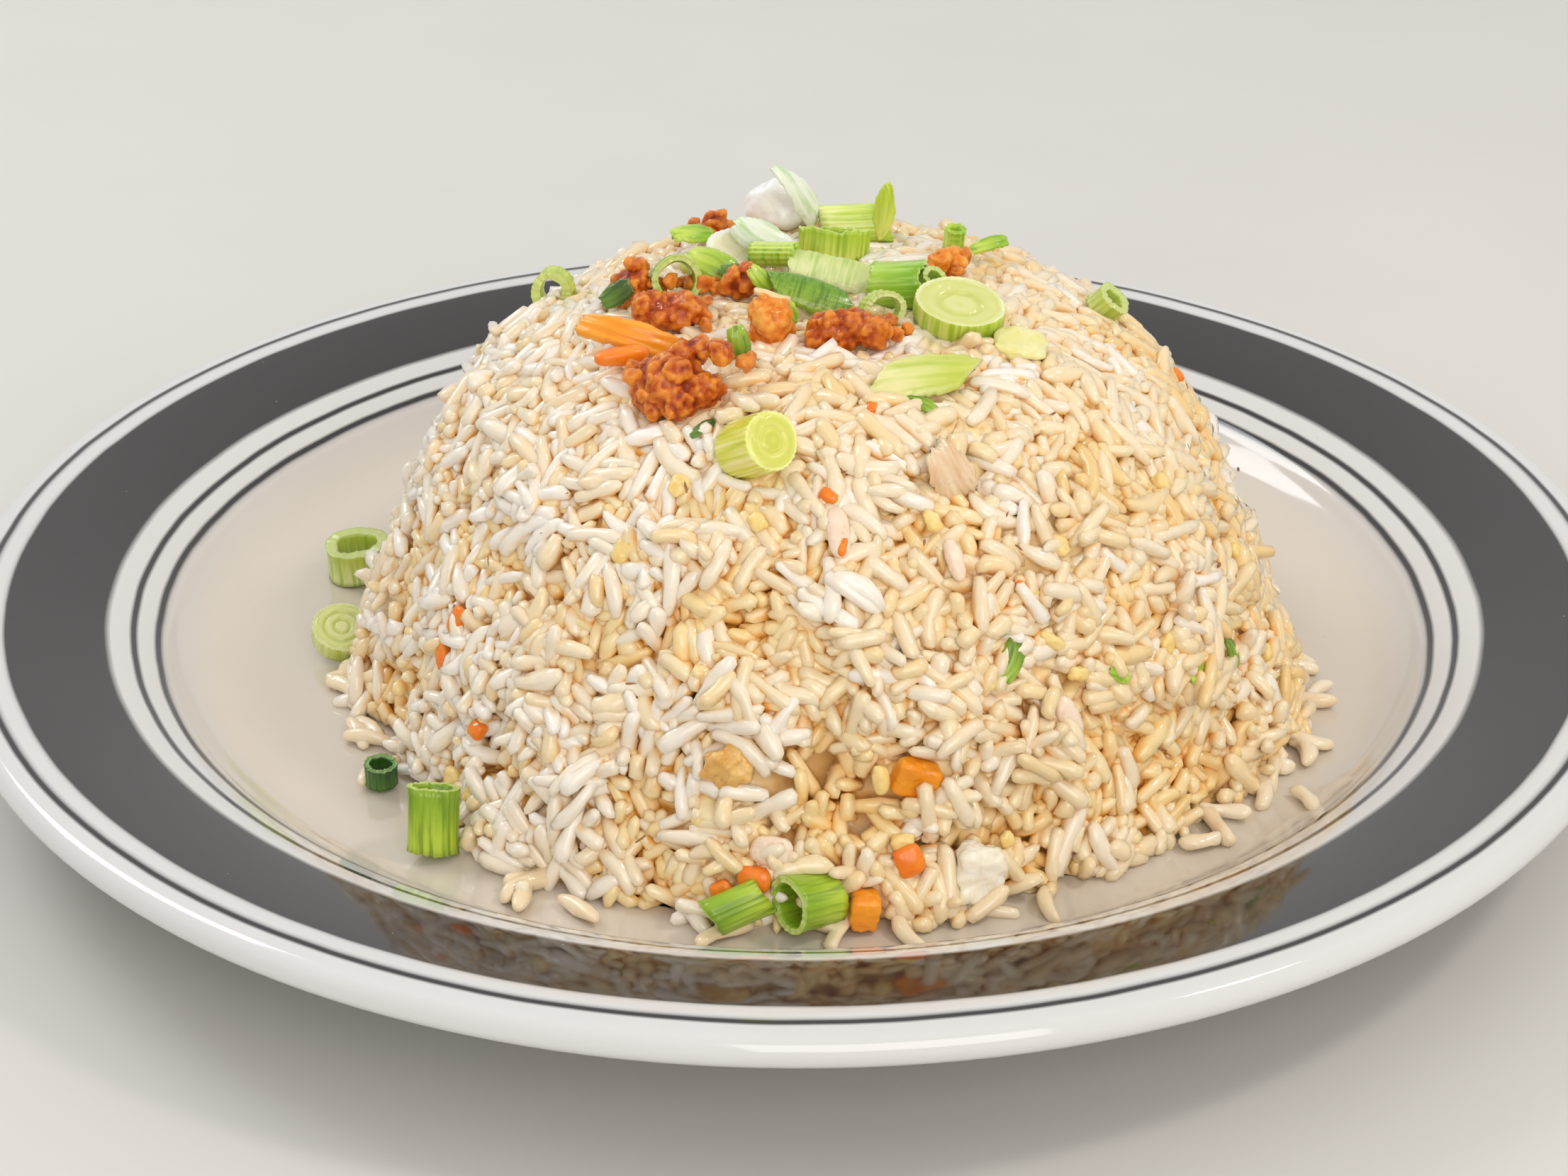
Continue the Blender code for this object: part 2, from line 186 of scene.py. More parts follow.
def glazed_plate():
    """Vitrified china, glazed and fired: ivory with a milky depth, its stripes under a glassy coat."""
    material, tree, body = new_material(
        "glazed_china", Roughness=0.09, IOR=1.52, Coat_Weight=0.35, Coat_Roughness=0.04,
        Subsurface_Weight=0.06, Subsurface_Radius=(1.0, 0.9, 0.8), Subsurface_Scale=1.2 * MM)
    place = add(tree, "TexCoord").outputs["Object"]
    wander = add(tree, "TexNoise", {"Scale": per(16), "Detail": 2.0}, {"Vector": place}).outputs["Fac"]
    flat = add(tree, "VectorMath", {"operation": "MULTIPLY", 1: (1, 1, 0)}, {0: place}).outputs["Vector"]
    radius = add(tree, "VectorMath", {"operation": "LENGTH"}, {0: flat}).outputs["Value"]
    wobble = add(tree, "Math", {"operation": "MULTIPLY_ADD", 1: 0.5 * MM, 2: -0.25 * MM}, {0: wander}).outputs[0]
    radius = add(tree, "Math", {"operation": "ADD"}, {0: radius, 1: wobble}).outputs[0]
    share = add(tree, "Math", {"operation": "DIVIDE", 1: PLATE_RADIUS * MM}, {0: radius}).outputs[0]
    soft = 0.12
    stops = [(0.0, (0.0,))]
    for index, edge in enumerate(STRIPE_EDGES):
        before, after = ((0.0,), (1.0,)) if index % 2 == 0 else ((1.0,), (0.0,))
        stops.append(((edge - soft) / PLATE_RADIUS, before))
        stops.append(((edge + soft) / PLATE_RADIUS, after))
    stripe = add(tree, "ValToRGB", {"stops": stops}, {"Fac": share}).outputs["Color"]
    patchy = add(tree, "TexNoise", {"Scale": per(45), "Detail": 3.0}, {"Vector": place}).outputs["Fac"]
    stops = [(0.70, paint("#dad0c3")), (0.78, paint("#dcdcdd"))]
    glaze = add(tree, "ValToRGB", {"stops": stops}, {"Fac": share}).outputs["Color"]
    ivory = add(tree, "Mix", {"data_type": "RGBA", "blend_type": "MULTIPLY", 7: paint("#f7f5f1")},
                {0: patchy, 6: glaze})
    black = add(tree, "Mix", {"data_type": "RGBA", 6: paint("#2a2426"), 7: paint("#231f21")}, {0: wander})
    colour = add(tree, "Mix", {"data_type": "RGBA"},
                 {0: stripe, 6: ivory.outputs[2], 7: black.outputs[2]}).outputs[2]
    pits = add(tree, "TexVoronoi", {"Scale": per(7), "Randomness": 1.0}, {"Vector": place}).outputs["Distance"]
    speck = add(tree, "Math", {"operation": "LESS_THAN", 1: 0.022}, {0: pits}).outputs[0]
    speck = add(tree, "Math", {"operation": "MULTIPLY", 1: 0.5}, {0: speck}).outputs[0]
    colour = add(tree, "Mix", {"data_type": "RGBA", 7: paint("#b5a994")}, {0: speck, 6: colour}).outputs[2]
    tree.links.new(colour, body.inputs["Base Color"])
    scuff = add(tree, "TexNoise", {"Scale": per(5), "Detail": 6.0, "Roughness": 0.7}, {"Vector": place})
    shine = add(tree, "MapRange", {"From Min": 0.35, "From Max": 0.75, "To Min": 0.06, "To Max": 0.15},
                {"Value": scuff.outputs["Fac"]}).outputs[0]
    tree.links.new(shine, body.inputs["Roughness"])
    ripple = add(tree, "TexNoise", {"Scale": per(9), "Detail": 1.0}, {"Vector": place}).outputs["Fac"]
    bump = add(tree, "Bump", {"Strength": 0.12, "Distance": 0.25 * MM}, {"Height": ripple})
    tree.links.new(bump.outputs["Normal"], body.inputs["Normal"])
    return material


def smooth_profile(points, steps):
    """A Catmull-Rom curve through the points of a profile, steps points to each stretch."""
    points = np.asarray(points, float)
    padded = np.concatenate((points[:1], points, points[-1:]))
    way = np.linspace(0.0, 1.0, steps, endpoint=False)[:, None]
    rows = []
    for a, b, c, d in zip(padded, padded[1:], padded[2:], padded[3:]):
        rows.append(0.5 * (2 * b + (c - a) * way + (2 * a - 5 * b + 4 * c - d) * way ** 2
                           + (3 * b - a - 3 * c + d) * way ** 3))
    return np.concatenate(rows + [points[-1:]])


def make_plate():
    """The plate, turned finely from the middle of the well over the rolled lip to the foot ring."""
    lip_radius, lip_centre = 2.5, (PLATE_RADIUS - 2.5, 21.3)
    top = [(4, WELL_FLOOR), (40, WELL_FLOOR), (80, WELL_FLOOR), (FLOOR_RADIUS, WELL_FLOOR + 0.05),
           (96.2, 11.2), (99.4, 13.5), (WELL_RADIUS, 15.9), (105.6, 18.1), (109.9, 19.85),
           (117.6, 21.9), (125.46, 23.6), (128.4, 23.85)]
    lip = [(lip_centre[0] + lip_radius * math.cos(turn), lip_centre[1] + lip_radius * math.sin(turn))
           for turn in np.radians((78, 45, 12, -20, -55, -88))]
    under = [(124.8, 17.9), (109.0, 13.9), (99.6, 8.5), (91.0, 4.4), (79.2, 3.7), (77.6, 1.2), (76.2, 0.03),
             (72.4, 0.03), (71.0, 1.2), (69.4, 3.7), (60, 4.0), (4, 4.0)]
    profile = smooth_profile(top + lip + under, 4)
    turn = np.linspace(0.0, math.tau, 192, endpoint=False)
    rings = np.zeros((len(profile), len(turn), 3))
    rings[..., 0] = profile[:, :1] * np.cos(turn)
    rings[..., 1] = profile[:, :1] * np.sin(turn)
    rings[..., 2] = profile[:, 1:]
    plate = loft("china_plate", rings[:, ::-1], glazed_plate())
    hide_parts("plate")
    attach(plate, "root")
    return plate


# ---------------------------------------------------------------- rice

def cooked_rice(name, tints, shade, roughness=0.34):
    """Boiled and fried long grain: plump, waxy and part clear, with a thin film of oil on it, and a painted amber shade
    multiplied in where grains crowd and lie deep.
    """
    material, tree, body = new_material(
        name, Roughness=roughness, IOR=1.42, Coat_Weight=1.0, Coat_Roughness=0.05,
        Specular_IOR_Level=0.4)
    place = add(tree, "TexCoord").outputs["Object"]
    island = add(tree, "NewGeometry").outputs["Random Per Island"]
    drift = add(tree, "TexNoise", {"Scale": per(11), "Detail": 3.0}, {"Vector": place}).outputs["Fac"]
    blend = add(tree, "Math", {"operation": "MULTIPLY_ADD", 1: 0.55}, {0: island, 2: drift}).outputs[0]
    stops = [(0.28 + 0.75 * index / (len(tints) - 1), paint(tint)) for index, tint in enumerate(tints)]
    colour = add(tree, "ValToRGB", {"stops": stops}, {"Fac": blend}).outputs["Color"]
    cloud = add(tree, "TexNoise", {"Scale": per(1.6), "Detail": 3.0}, {"Vector": place}).outputs["Fac"]
    amount = add(tree, "MapRange", {"From Min": 0.45, "From Max": 0.85, "To Max": 0.6}, {"Value": cloud}).outputs[0]
    colour = add(tree, "Mix", {"data_type": "RGBA", 7: paint(shade)}, {0: amount, 6: colour}).outputs[2]
    # painted shade: the colour is multiplied by an amber tint where grains crowd together and lie deep, standing in for
    # the warm shade of the crevices
    painted_crevice_shade = add(tree, "Attribute", {"attribute_name": "crowded_shade"}).outputs["Fac"]
    colour = add(tree, "Mix", {"data_type": "RGBA", "blend_type": "MULTIPLY", 7: paint(CREVICE_SHADE_TINT)},
                 {0: painted_crevice_shade, 6: colour}).outputs[2]
    tree.links.new(colour, body.inputs["Base Color"])
    fine = add(tree, "TexNoise", {"Scale": per(0.7), "Detail": 4.0}, {"Vector": place}).outputs["Fac"]
    stuck = add(tree, "Bevel", {"samples": 4, "Radius": 0.8 * MM}).outputs["Normal"]
    bump = add(tree, "Bump", {"Strength": 0.5, "Distance": 0.16 * MM}, {"Height": fine, "Normal": stuck})
    tree.links.new(bump.outputs["Normal"], body.inputs["Normal"])
    return material


def skirt_radius(azimuth, rise):
    """The mound's radius towards an azimuth in degrees, wider where rice has spread on the plate."""
    swell = np.zeros_like(azimuth)
    for centre, amount, spread in MOUND_SKIRT:
        away = (azimuth - centre + 180.0) % 360.0 - 180.0
        swell += amount * np.exp(-(away / spread) ** 2)
    return MOUND_RADIUS * (1.0 + swell * (1.0 - rise) ** 2.5)


def below_surface(points):
    """How deep points lie under the moulded surface in mm, and the outward direction there."""
    from_centre = points - MOUND_CENTRE
    flat = np.maximum(np.hypot(from_centre[..., 0], from_centre[..., 1]), 0.001)
    azimuth = np.degrees(np.arctan2(from_centre[..., 1], from_centre[..., 0]))
    rise = np.clip(from_centre[..., 2] / MOUND_HEIGHT, 0.0, 1.0)
    radius = skirt_radius(azimuth, rise)
    share = flat / radius
    value = from_centre[..., 2] / MOUND_HEIGHT + share ** MOUND_POWER - 1.0
    outward = MOUND_POWER * share ** (MOUND_POWER - 1.0) / radius
    steep = np.hypot(outward, 1.0 / MOUND_HEIGHT)
    direction = np.stack((outward * from_centre[..., 0] / flat, outward * from_centre[..., 1] / flat,
                          np.full_like(flat, 1.0 / MOUND_HEIGHT)), -1)
    return -value / steep, direction / steep[..., None]


class Crowding:
    """How much rice lies round any place: the grains' volume shared out over a grid and spread a little."""

    STEP = 0.8

    def __init__(self, grains):
        self.low = HEAP_LOW - 6.0
        size = np.ceil((HEAP_HIGH + 6.0 - self.low) / self.STEP).astype(int)
        spots = grains.points(np.linspace(-0.85, 0.85, 9)[None, :]).reshape(-1, 3)
        share = np.repeat(math.pi * grains.radius ** 2 * grains.length * 0.8 / 9.0, 9) / self.STEP ** 3
        cells = np.clip(((spots - self.low) / self.STEP).astype(int), 0, size - 1)
        flat = (cells[:, 0] * size[1] + cells[:, 1]) * size[2] + cells[:, 2]
        room = np.bincount(flat, share, int(np.prod(size))).reshape(size)
        middles = [self.low[i] + (np.arange(size[i]) + 0.5) * self.STEP for i in range(3)]
        depth = below_surface(np.stack(np.meshgrid(*middles, indexing="ij"), -1))[0]
        room = np.where(depth > RICE_DEPTH + 1.0, 1.0, room)
        room = np.where(np.arange(size[2]) * self.STEP + self.low[2] < WELL_FLOOR, 0.6, room)
        for _ in range(2):
            for axis in range(3):
                room = (np.roll(room, 1, axis) + room + np.roll(room, -1, axis)) / 3.0
        self.room, self.size = room, size

    def mark(self, thing):
        """Mark each point of a piece with painted crevice shade, from how crowded the rice is just outside it and how
        deep it lies.
        """
        mesh = thing.data
        points, normals = np.empty(3 * len(mesh.vertices), np.float32), np.empty(3 * len(mesh.vertices), np.float32)
        mesh.vertices.foreach_get("co", points)
        mesh.vertex_normals.foreach_get("vector", normals)
        spots = points.reshape(-1, 3) / MM + 1.5 * normals.reshape(-1, 3)
        cells = np.clip(((spots - self.low) / self.STEP).astype(int), 0, self.size - 1)
        crowded_shade = self.room[cells[:, 0], cells[:, 1], cells[:, 2]]
        print("grains raw", np.percentile(crowded_shade, (5, 25, 50, 75, 90, 98)).round(2))
        crowded_shade = np.clip((crowded_shade - CREVICE_SHADE_RANGE[0]) / (CREVICE_SHADE_RANGE[1] - CREVICE_SHADE_RANGE[0]), 0.0, 1.0) ** 1.3
        depth = below_surface(points.reshape(-1, 3) / MM)[0]
        crowded_shade = np.clip(crowded_shade + np.clip((depth - 1.6) / 7.0, 0.0, 0.5), 0.0, 1.0)
        mesh.attributes.new("crowded_shade", "FLOAT", "POINT").data.foreach_set("value", crowded_shade.astype(np.float32))


def near_pairs(points, reach):
    """Index pairs of all points closer than reach, found by sorting the points into cells."""
    cell = np.floor(points / reach).astype(np.int64)
    cell -= cell.min(0) - 1
    span = cell.max(0) + 2
    key = (cell[:, 0] * span[1] + cell[:, 1]) * span[2] + cell[:, 2]
    order = np.argsort(key, kind="stable")
    key = key[order]
    here = np.arange(len(key))
    firsts, seconds = [], []
    for x in (-1, 0, 1):
        for y in (-1, 0, 1):
            for z in (-1, 0, 1):
                shift = (x * span[1] + y) * span[2] + z
                if shift < 0:
                    continue
                low = np.searchsorted(key, key + shift, "left")
                high = np.searchsorted(key, key + shift, "right")
                if shift == 0:
                    low = here + 1
                count = np.maximum(high - low, 0)
                start = np.repeat(low - (np.cumsum(count) - count), count)
                firsts.append(np.repeat(here, count))
                seconds.append(start + np.arange(count.sum()))
    first, second = order[np.concatenate(firsts)], order[np.concatenate(seconds)]
    close = ((points[first] - points[second]) ** 2).sum(1) < reach * reach
    return first[close], second[close]


def unit(vectors):
    """Vectors of length one."""
    return vectors / np.maximum(np.linalg.norm(vectors, axis=-1, keepdims=True), 1e-9)


def across(axis, side):
    """The part of side that is square to axis, of length one."""
    return unit(side - (side * axis).sum(-1, keepdims=True) * axis)


class Grains:
    """A crowd of grains: centre, long axis, the side they bend to, length, radius and bend."""

    def __init__(self, centre, axis, side, length, radius, bend):
        self.centre, self.axis, self.side = centre, axis, side
        self.length, self.radius, self.bend = length, radius, bend

    def spine(self, way):
        """Distances along and across the axis at ways from -1 to 1 along each grain."""
        along = 0.5 * self.length[:, None] * way
        return along, self.bend[:, None] * (way ** 2 - 1.0 / 3.0)

    def points(self, way):
        """Points on the bent spine at ways from -1 to 1."""
        along, over = self.spine(way)
        return self.centre[:, None] + along[..., None] * self.axis[:, None] + over[..., None] * self.side[:, None]

    def pick(self, keep):
        """The grains that keep chooses."""
        return Grains(*(field[keep] for field in (self.centre, self.axis, self.side, self.length,
                                                  self.radius, self.bend)))


def settle(grains, cover, sink, blocks, steps):
    """Push grains apart until they only just press on each other, between cover and sink deep."""
    way = np.linspace(-0.78, 0.78, BEADS)[None, :]
    width = np.array([0.82] + [0.96] * (BEADS - 2) + [0.82])
    size = (grains.radius[:, None] * width * STICKING).ravel()
    owner = np.repeat(np.arange(len(size) // BEADS), BEADS)
    total = len(size)
    all_size = np.concatenate((size, np.full(len(blocks), 0.6)))
    along, over = grains.spine(way)
    reach = 2.0 * size.max() + 0.7
    for step in range(steps):
        beads = grains.points(way).reshape(-1, 3)
        spots = np.concatenate((beads, blocks))
        if step % 6 == 0:
            pairs = near_pairs(spots, reach)
            first, second = np.minimum(*pairs), np.maximum(*pairs)
            first, second = first[first < total], second[first < total]
            fixed = second >= total
            keep = fixed | (owner[first] != owner[np.minimum(second, total - 1)])
            first, second, fixed = first[keep], second[keep], fixed[keep]
            wanted = all_size[first] + all_size[second]
        gap = spots[first] - spots[second]
        distance = np.maximum(np.linalg.norm(gap, axis=1), 1e-6)
        press = np.maximum(wanted - distance, 0.0)
        push = gap * (press / distance * np.where(fixed, 1.0, 0.5))[:, None]
        touching = np.bincount(first, press > 0, total) + np.bincount(second, press > 0, len(spots))[:total]
        move = np.stack([np.bincount(first, push[:, i], total)
                         - np.bincount(second, push[:, i], len(spots))[:total] for i in range(3)], -1)
        move /= np.maximum(touching, 1.0)[:, None] ** 0.6
        depth, outward = below_surface(beads)
        short = np.maximum(np.repeat(cover, BEADS) + size - depth, 0.0)
        move -= outward * np.minimum(short, 1.5)[:, None] * 0.6
        deep = np.maximum(depth - np.repeat(sink, BEADS), 0.0)
        move += outward * np.minimum(deep, 1.0)[:, None] * 0.5
        low = np.maximum(WELL_FLOOR + size - (beads + move)[:, 2], 0.0)
        move[:, 2] += low
        moved = (beads + move).reshape(-1, BEADS, 3)
        centre = moved.mean(1)
        spread = moved - centre[:, None]
        grains.axis = unit((along[..., None] * spread).sum(1) + 1e-6 * grains.axis)
        over_flat = over - over.mean(1, keepdims=True)
        tilt = (over_flat[..., None] * spread).sum(1) / np.maximum((over_flat ** 2).sum(1), 1e-3)[:, None]
        grains.side = across(grains.axis, 0.3 * tilt + grains.side)
        grains.centre = centre - over.mean(1)[:, None] * grains.side
    return grains


def grain_crowd(name, grains, material, rings, around, rng):
    """Join grains into one mesh: plump bent spindles with uneven, pointed or broken ends."""
    count = len(grains.length)
    way = np.sin(np.linspace(-0.5, 0.5, rings + 2)[1:-1] * math.pi * 0.985)
    way = np.sign(way) * np.abs(way) ** 0.92
    blunt = rng.uniform(0.0, 1.0, (count, 2, 1)) ** 0.7
    sharp_profile = np.clip(1.0 - np.abs(way) ** 3.0, 0.0, 1.0) ** 0.58
    blunt_profile = np.clip(1.0 - np.abs(way) ** 9.0, 0.0, 1.0) ** 0.4
    share = np.where(way[None] < 0, blunt[:, 0], blunt[:, 1])
    width = (1.0 - share) * sharp_profile + share * blunt_profile
    width = width * (1.0 + 0.1 * np.sin(way[None] * 4.6 + rng.uniform(0, math.tau, (count, 1))))
    angle = np.linspace(0, math.tau, around, endpoint=False)
    angle = angle[None, None, :] + rng.uniform(0, math.tau, (count, 1, 1))
    phase = rng.uniform(0, math.tau, (count, 3, 1, 1))
    ripple = 1.0 + 0.09 * np.sin(2 * angle + phase[:, 0] + 2.2 * way[None, :, None])
    ripple = ripple + 0.1 * np.sin(3 * angle + phase[:, 1] - 3.1 * way[None, :, None])
    swell = grains.radius[:, None, None] * width[..., None] * ripple
    flat = rng.uniform(0.78, 0.98, (count, 1, 1))
    chisel = rng.uniform(-0.9, 0.9, (count, 2)) * blunt[..., 0]
    shear = np.where(way[None] < 0, chisel[:, :1], chisel[:, 1:]) * np.abs(way[None]) ** 3
    third = np.cross(grains.axis, grains.side)
    spine = grains.points(np.repeat(way[None], count, 0))
    u, v = swell * np.cos(angle), swell * flat * np.sin(angle)
    body = spine[:, :, None] + u[..., None] * grains.side[:, None, None] + v[..., None] * third[:, None, None]
    body = body + (shear[..., None] * u)[..., None] * grains.axis[:, None, None]
    tips = grains.points(np.repeat(np.array([[-1.0, 1.0]]), count, 0))
    points = np.concatenate((body.reshape(count, -1, 3), tips), 1)
    quads, triangles = loft_faces(rings, around)
    start = (np.arange(count) * points.shape[1])[:, None, None]
    quads = (quads[None] + start).reshape(-1, 4)
    triangles = (triangles[None] + start).reshape(-1, 3)
    crowd = mesh_object(name, points.reshape(-1, 3), quads, triangles, material)
    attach(crowd, "root")
    return crowd


def looseness(points):
    """How loosely the rice lies, 0 to 1: pressed smooth on the crown and shoulders, loose low in front."""
    height = (points[:, 2] - WELL_FLOOR) / MOUND_HEIGHT
    front = np.clip(0.5 - (points[:, 1] - MOUND_CENTRE[1]) / (1.4 * MOUND_RADIUS), 0.0, 1.0)
    lean = np.clip((points[:, 0] - MOUND_CENTRE[0]) / MOUND_RADIUS, -1.0, 1.0)
    return np.clip(1.3 * (0.3 + 0.7 * front) * (1.15 - height) - 0.25 * np.maximum(lean, 0.0), 0.1, 1.0)


def hollowness(points, loose):
    """How deeply the rice is hollowed at each point, 0 to 1, more where it lies loosely."""
    wave = np.array([noise.noise(Vector(spot / HOLLOW_SIZE)) for spot in points])
    return np.clip((wave - 0.52 + 0.44 * loose) / 0.22, 0.0, 1.0)


def slump(points, loose):
    """How far the rice has sunk, or stands proud if negative, in clumps of a dozen mm, in mm."""
    wave = np.array([noise.noise(Vector(spot / SLUMP_SIZE + Vector((7.0, 3.0, 5.0)))) for spot in points])
    return wave * (0.8 + 4.2 * loose)


def core_depth(loose, hollow, sunk):
    """How far below the moulded surface the fused rice lies."""
    return 1.5 + 1.5 * loose + 1.8 * hollow + sunk


def topping_surfaces(rng):
    """Points spread over the toppings' solids, which the grains are pushed away from."""
    spots = []
    for name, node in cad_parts.items():
        if name in ("plate", "rice_heap"):
            continue
        mesh = node.data
        mesh.calc_loop_triangles()
        corners = np.array([[mesh.vertices[i].co for i in face.vertices] for face in mesh.loop_triangles]) / MM
        size = 0.5 * np.linalg.norm(np.cross(corners[:, 1] - corners[:, 0], corners[:, 2] - corners[:, 0]), axis=1)
        count = max(int(size.sum() / 1.1), 4)
        chosen = corners[rng.choice(len(size), count, p=size / size.sum())]
        share = np.sort(rng.uniform(0, 1, (count, 2)), axis=1)
        share = np.stack((share[:, 0], share[:, 1] - share[:, 0], 1.0 - share[:, 1]), -1)
        spots.append((chosen * share[..., None]).sum(1))
    return np.concatenate(spots)


def clear_of_toppings(grains):
    """True for each grain whose spine stays out of every topping's solid."""
    beads = grains.points(np.linspace(-0.9, 0.9, BEADS)[None, :])
    clear = np.ones(len(beads), bool)
    for name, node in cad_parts.items():
        if name in ("plate", "rice_heap"):
            continue
        low, high = (np.array(corner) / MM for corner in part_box(name))
        tree = BVHTree.FromPolygons([vert.co / MM for vert in node.data.vertices],
                                    [face.vertices for face in node.data.polygons])
        inside_box = ((beads > low - 0.3) & (beads < high + 0.3)).all(-1)
        for index in np.nonzero(inside_box.any(1))[0]:
            for bead in beads[index][inside_box[index]]:
                near, normal, _, gap = tree.find_nearest(Vector(bead))
                if gap < 0.5 or (Vector(bead) - near).dot(normal) < 0.0:
                    clear[index] = False
    return clear


def fill_shell(rng):
    """Scatter grains through the outer shell of the mound, with hollows where the rice lies loosely."""
    room = np.prod(HEAP_HIGH - HEAP_LOW)
    grain_room = math.pi * GRAIN_RADIUS ** 2 * 0.86 * GRAIN_LENGTH
    count = int(room * RICE_FILL / grain_room)
    centre = rng.uniform(HEAP_LOW - (2, 2, 0), HEAP_HIGH + (2, 2, 1), (count, 3))
    depth, outward = below_surface(centre)
    keep = (depth > -1.5) & (depth < RICE_DEPTH + 2.5)
    centre, depth, outward = centre[keep], depth[keep], outward[keep]
    loose = looseness(centre)
    hollow = hollowness(centre, loose)
    sunk = slump(centre, loose)
    sink = core_depth(loose, hollow, sunk) + 1.0
    keep = (depth > 2.6 * hollow + sunk) & (depth < sink + 0.3)
    centre, outward, loose, sunk, sink = centre[keep], outward[keep], loose[keep], sunk[keep], sink[keep]
    count = len(centre)
    turn = np.array([noise.noise(Vector(spot / 14.0)) for spot in centre]) * 7.0 + rng.normal(0, 0.75, count)
    level = across(outward, np.tile((0.31, 0.95, 0.11), (count, 1)))
    other = np.cross(outward, level)
    lift = rng.normal(0, 1, count) * (0.4 + 0.6 * loose)
    axis = unit(level * np.cos(turn)[:, None] + other * np.sin(turn)[:, None] + outward * lift[:, None])
    side = across(axis, rng.normal(0, 1, (count, 3)))
    length = np.clip(rng.normal(GRAIN_LENGTH, 1.1, count), 6.4, 11.4)
    broken = rng.uniform(0, 1, count) < 0.26
    length = np.where(broken, rng.uniform(3.4, 6.2, count), length)
    radius = np.clip(rng.normal(GRAIN_RADIUS, 0.14, count), 0.95, 1.6)
    bend = rng.uniform(0.0, 1.0, count) ** 1.5 * 1.5 * length / GRAIN_LENGTH
    clump = np.array([noise.noise(Vector(spot / CLUMP_SIZE)) for spot in centre])
    cover = sunk + rng.uniform(-0.3, 0.4, count) - clump * (0.8 + 2.0 * loose)
    cover = np.where(rng.uniform(0, 1, count) < 0.07 * (0.4 + loose), cover - 2.0, cover)
    return Grains(centre, axis, side, length, radius, bend), cover, sink


def make_rice(rng):
    """The mound of settled grains, sorted by colour, over a smaller core that shows in the hollows."""
    grains, cover, sink = fill_shell(rng)
    grains = settle(grains, cover, sink, topping_surfaces(rng), 60)
    grains = grains.pick(clear_of_toppings(grains))
    crowd = len(grains.length)
    # tone: creamier to the right and whiter to the left is painted warm light from the right and cool light from the
    # left; the noise patches and scatter are the rice's own random tone
    lean = (grains.centre[:, 0] - MOUND_CENTRE[0]) / MOUND_RADIUS
    patch = np.array([noise.noise(Vector(spot / 12.0)) for spot in grains.centre])
    tone_and_side_light = 0.8 * lean + 1.8 * patch + rng.normal(0, 0.25, crowd)
    broken = grains.length < 6.3
    crowding = Crowding(grains)
    crowding.mark(make_core())
    # grains more than 3 mm deep take the warmer deep tint, painted crevice shade
    inner = below_surface(grains.centre)[0] > 3.0
    whole = ~broken & ~inner
    kinds = (
        ("white_rice_grains", whole & (tone_and_side_light < -0.3), WHITE_RICE, 5, 7),
        ("ivory_rice_grains", whole & (tone_and_side_light >= -0.3) & (tone_and_side_light < 0.35), IVORY_RICE, 5, 7),
        ("cream_rice_grains", whole & (tone_and_side_light >= 0.35) & (tone_and_side_light < 1.1), CREAM_RICE, 5, 7),
        ("golden_rice_grains", whole & (tone_and_side_light >= 1.1), GOLDEN_RICE, 5, 7),
        ("broken_rice_grains", broken & ~inner, CREAM_RICE, 4, 7),
        ("inner_rice_grains", inner, DEEP_SHADE_RICE, 4, 6),
    )
    for name, keep, looks, rings, around in kinds:
        material = cooked_rice(name.replace("grains", "waxy"), *looks)
        made = grain_crowd(name, grains.pick(keep), material, rings, around, rng)
        crowding.mark(made)
        got = np.empty(len(made.data.vertices), np.float32)
        made.data.attributes["crowded_shade"].data.foreach_get("value", got)
        print("grains crowded", np.percentile(got, (5, 25, 50, 75, 95)).round(2))
        print(name, keep.sum(), sum(len(p.vertices) - 2 for p in made.data.polygons))


def make_core():
    """The fused rice behind the outer grains: a lumpy mound with pits where the rice is hollowed, tinted warmer as
    painted crevice shade.
    """
    rows, around = 92, 280
    turn = np.linspace(0, math.tau, around, endpoint=False)
    rise = np.linspace(0.0, 0.5 * math.pi, rows + 1)[:-1, None]
    height = MOUND_HEIGHT * np.sin(rise) * np.ones(around)
    share = np.maximum(1.0 - np.sin(rise) * 0.9999, 0.0) ** (1.0 / MOUND_POWER)
    radius = skirt_radius(np.degrees(turn)[None] * np.ones((rows, 1)), np.sin(rise) * np.ones(around)) * share
    points = np.stack((radius * np.cos(turn), radius * np.sin(turn), height), -1).reshape(-1, 3) + MOUND_CENTRE
    outward = below_surface(points)[1]
    loose = looseness(points)
    hollow = hollowness(points, loose)
    lumps = np.array([noise.noise(Vector(spot / 2.6)) + 0.4 * noise.noise(Vector(spot / 1.2)) for spot in points])
    points = points - outward * (core_depth(loose, hollow, slump(points, loose)) - 1.5 * lumps)[:, None]
    points[:, 2] = np.maximum(points[:, 2], WELL_FLOOR + 0.1)
    core = loft("rice_core", points.reshape(rows, around, 3), cooked_rice("rice_core_shaded_waxy", *DEEP_SHADE_RICE))
    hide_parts("rice_heap")
    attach(core, "root")
    return core


# ---------------------------------------------------------------- toppings

def wander(angle, seed, low=2, high=12):
    """A smooth closed wander round a ring of angles, about -1 to 1."""
    rng = np.random.default_rng(seed)
    waves = np.arange(low, high)[:, None]
    shift = rng.uniform(0, math.tau, (high - low, 1))
    return (np.sin(waves * np.asarray(angle)[None] + shift) / waves ** 0.6).sum(0) * 0.6


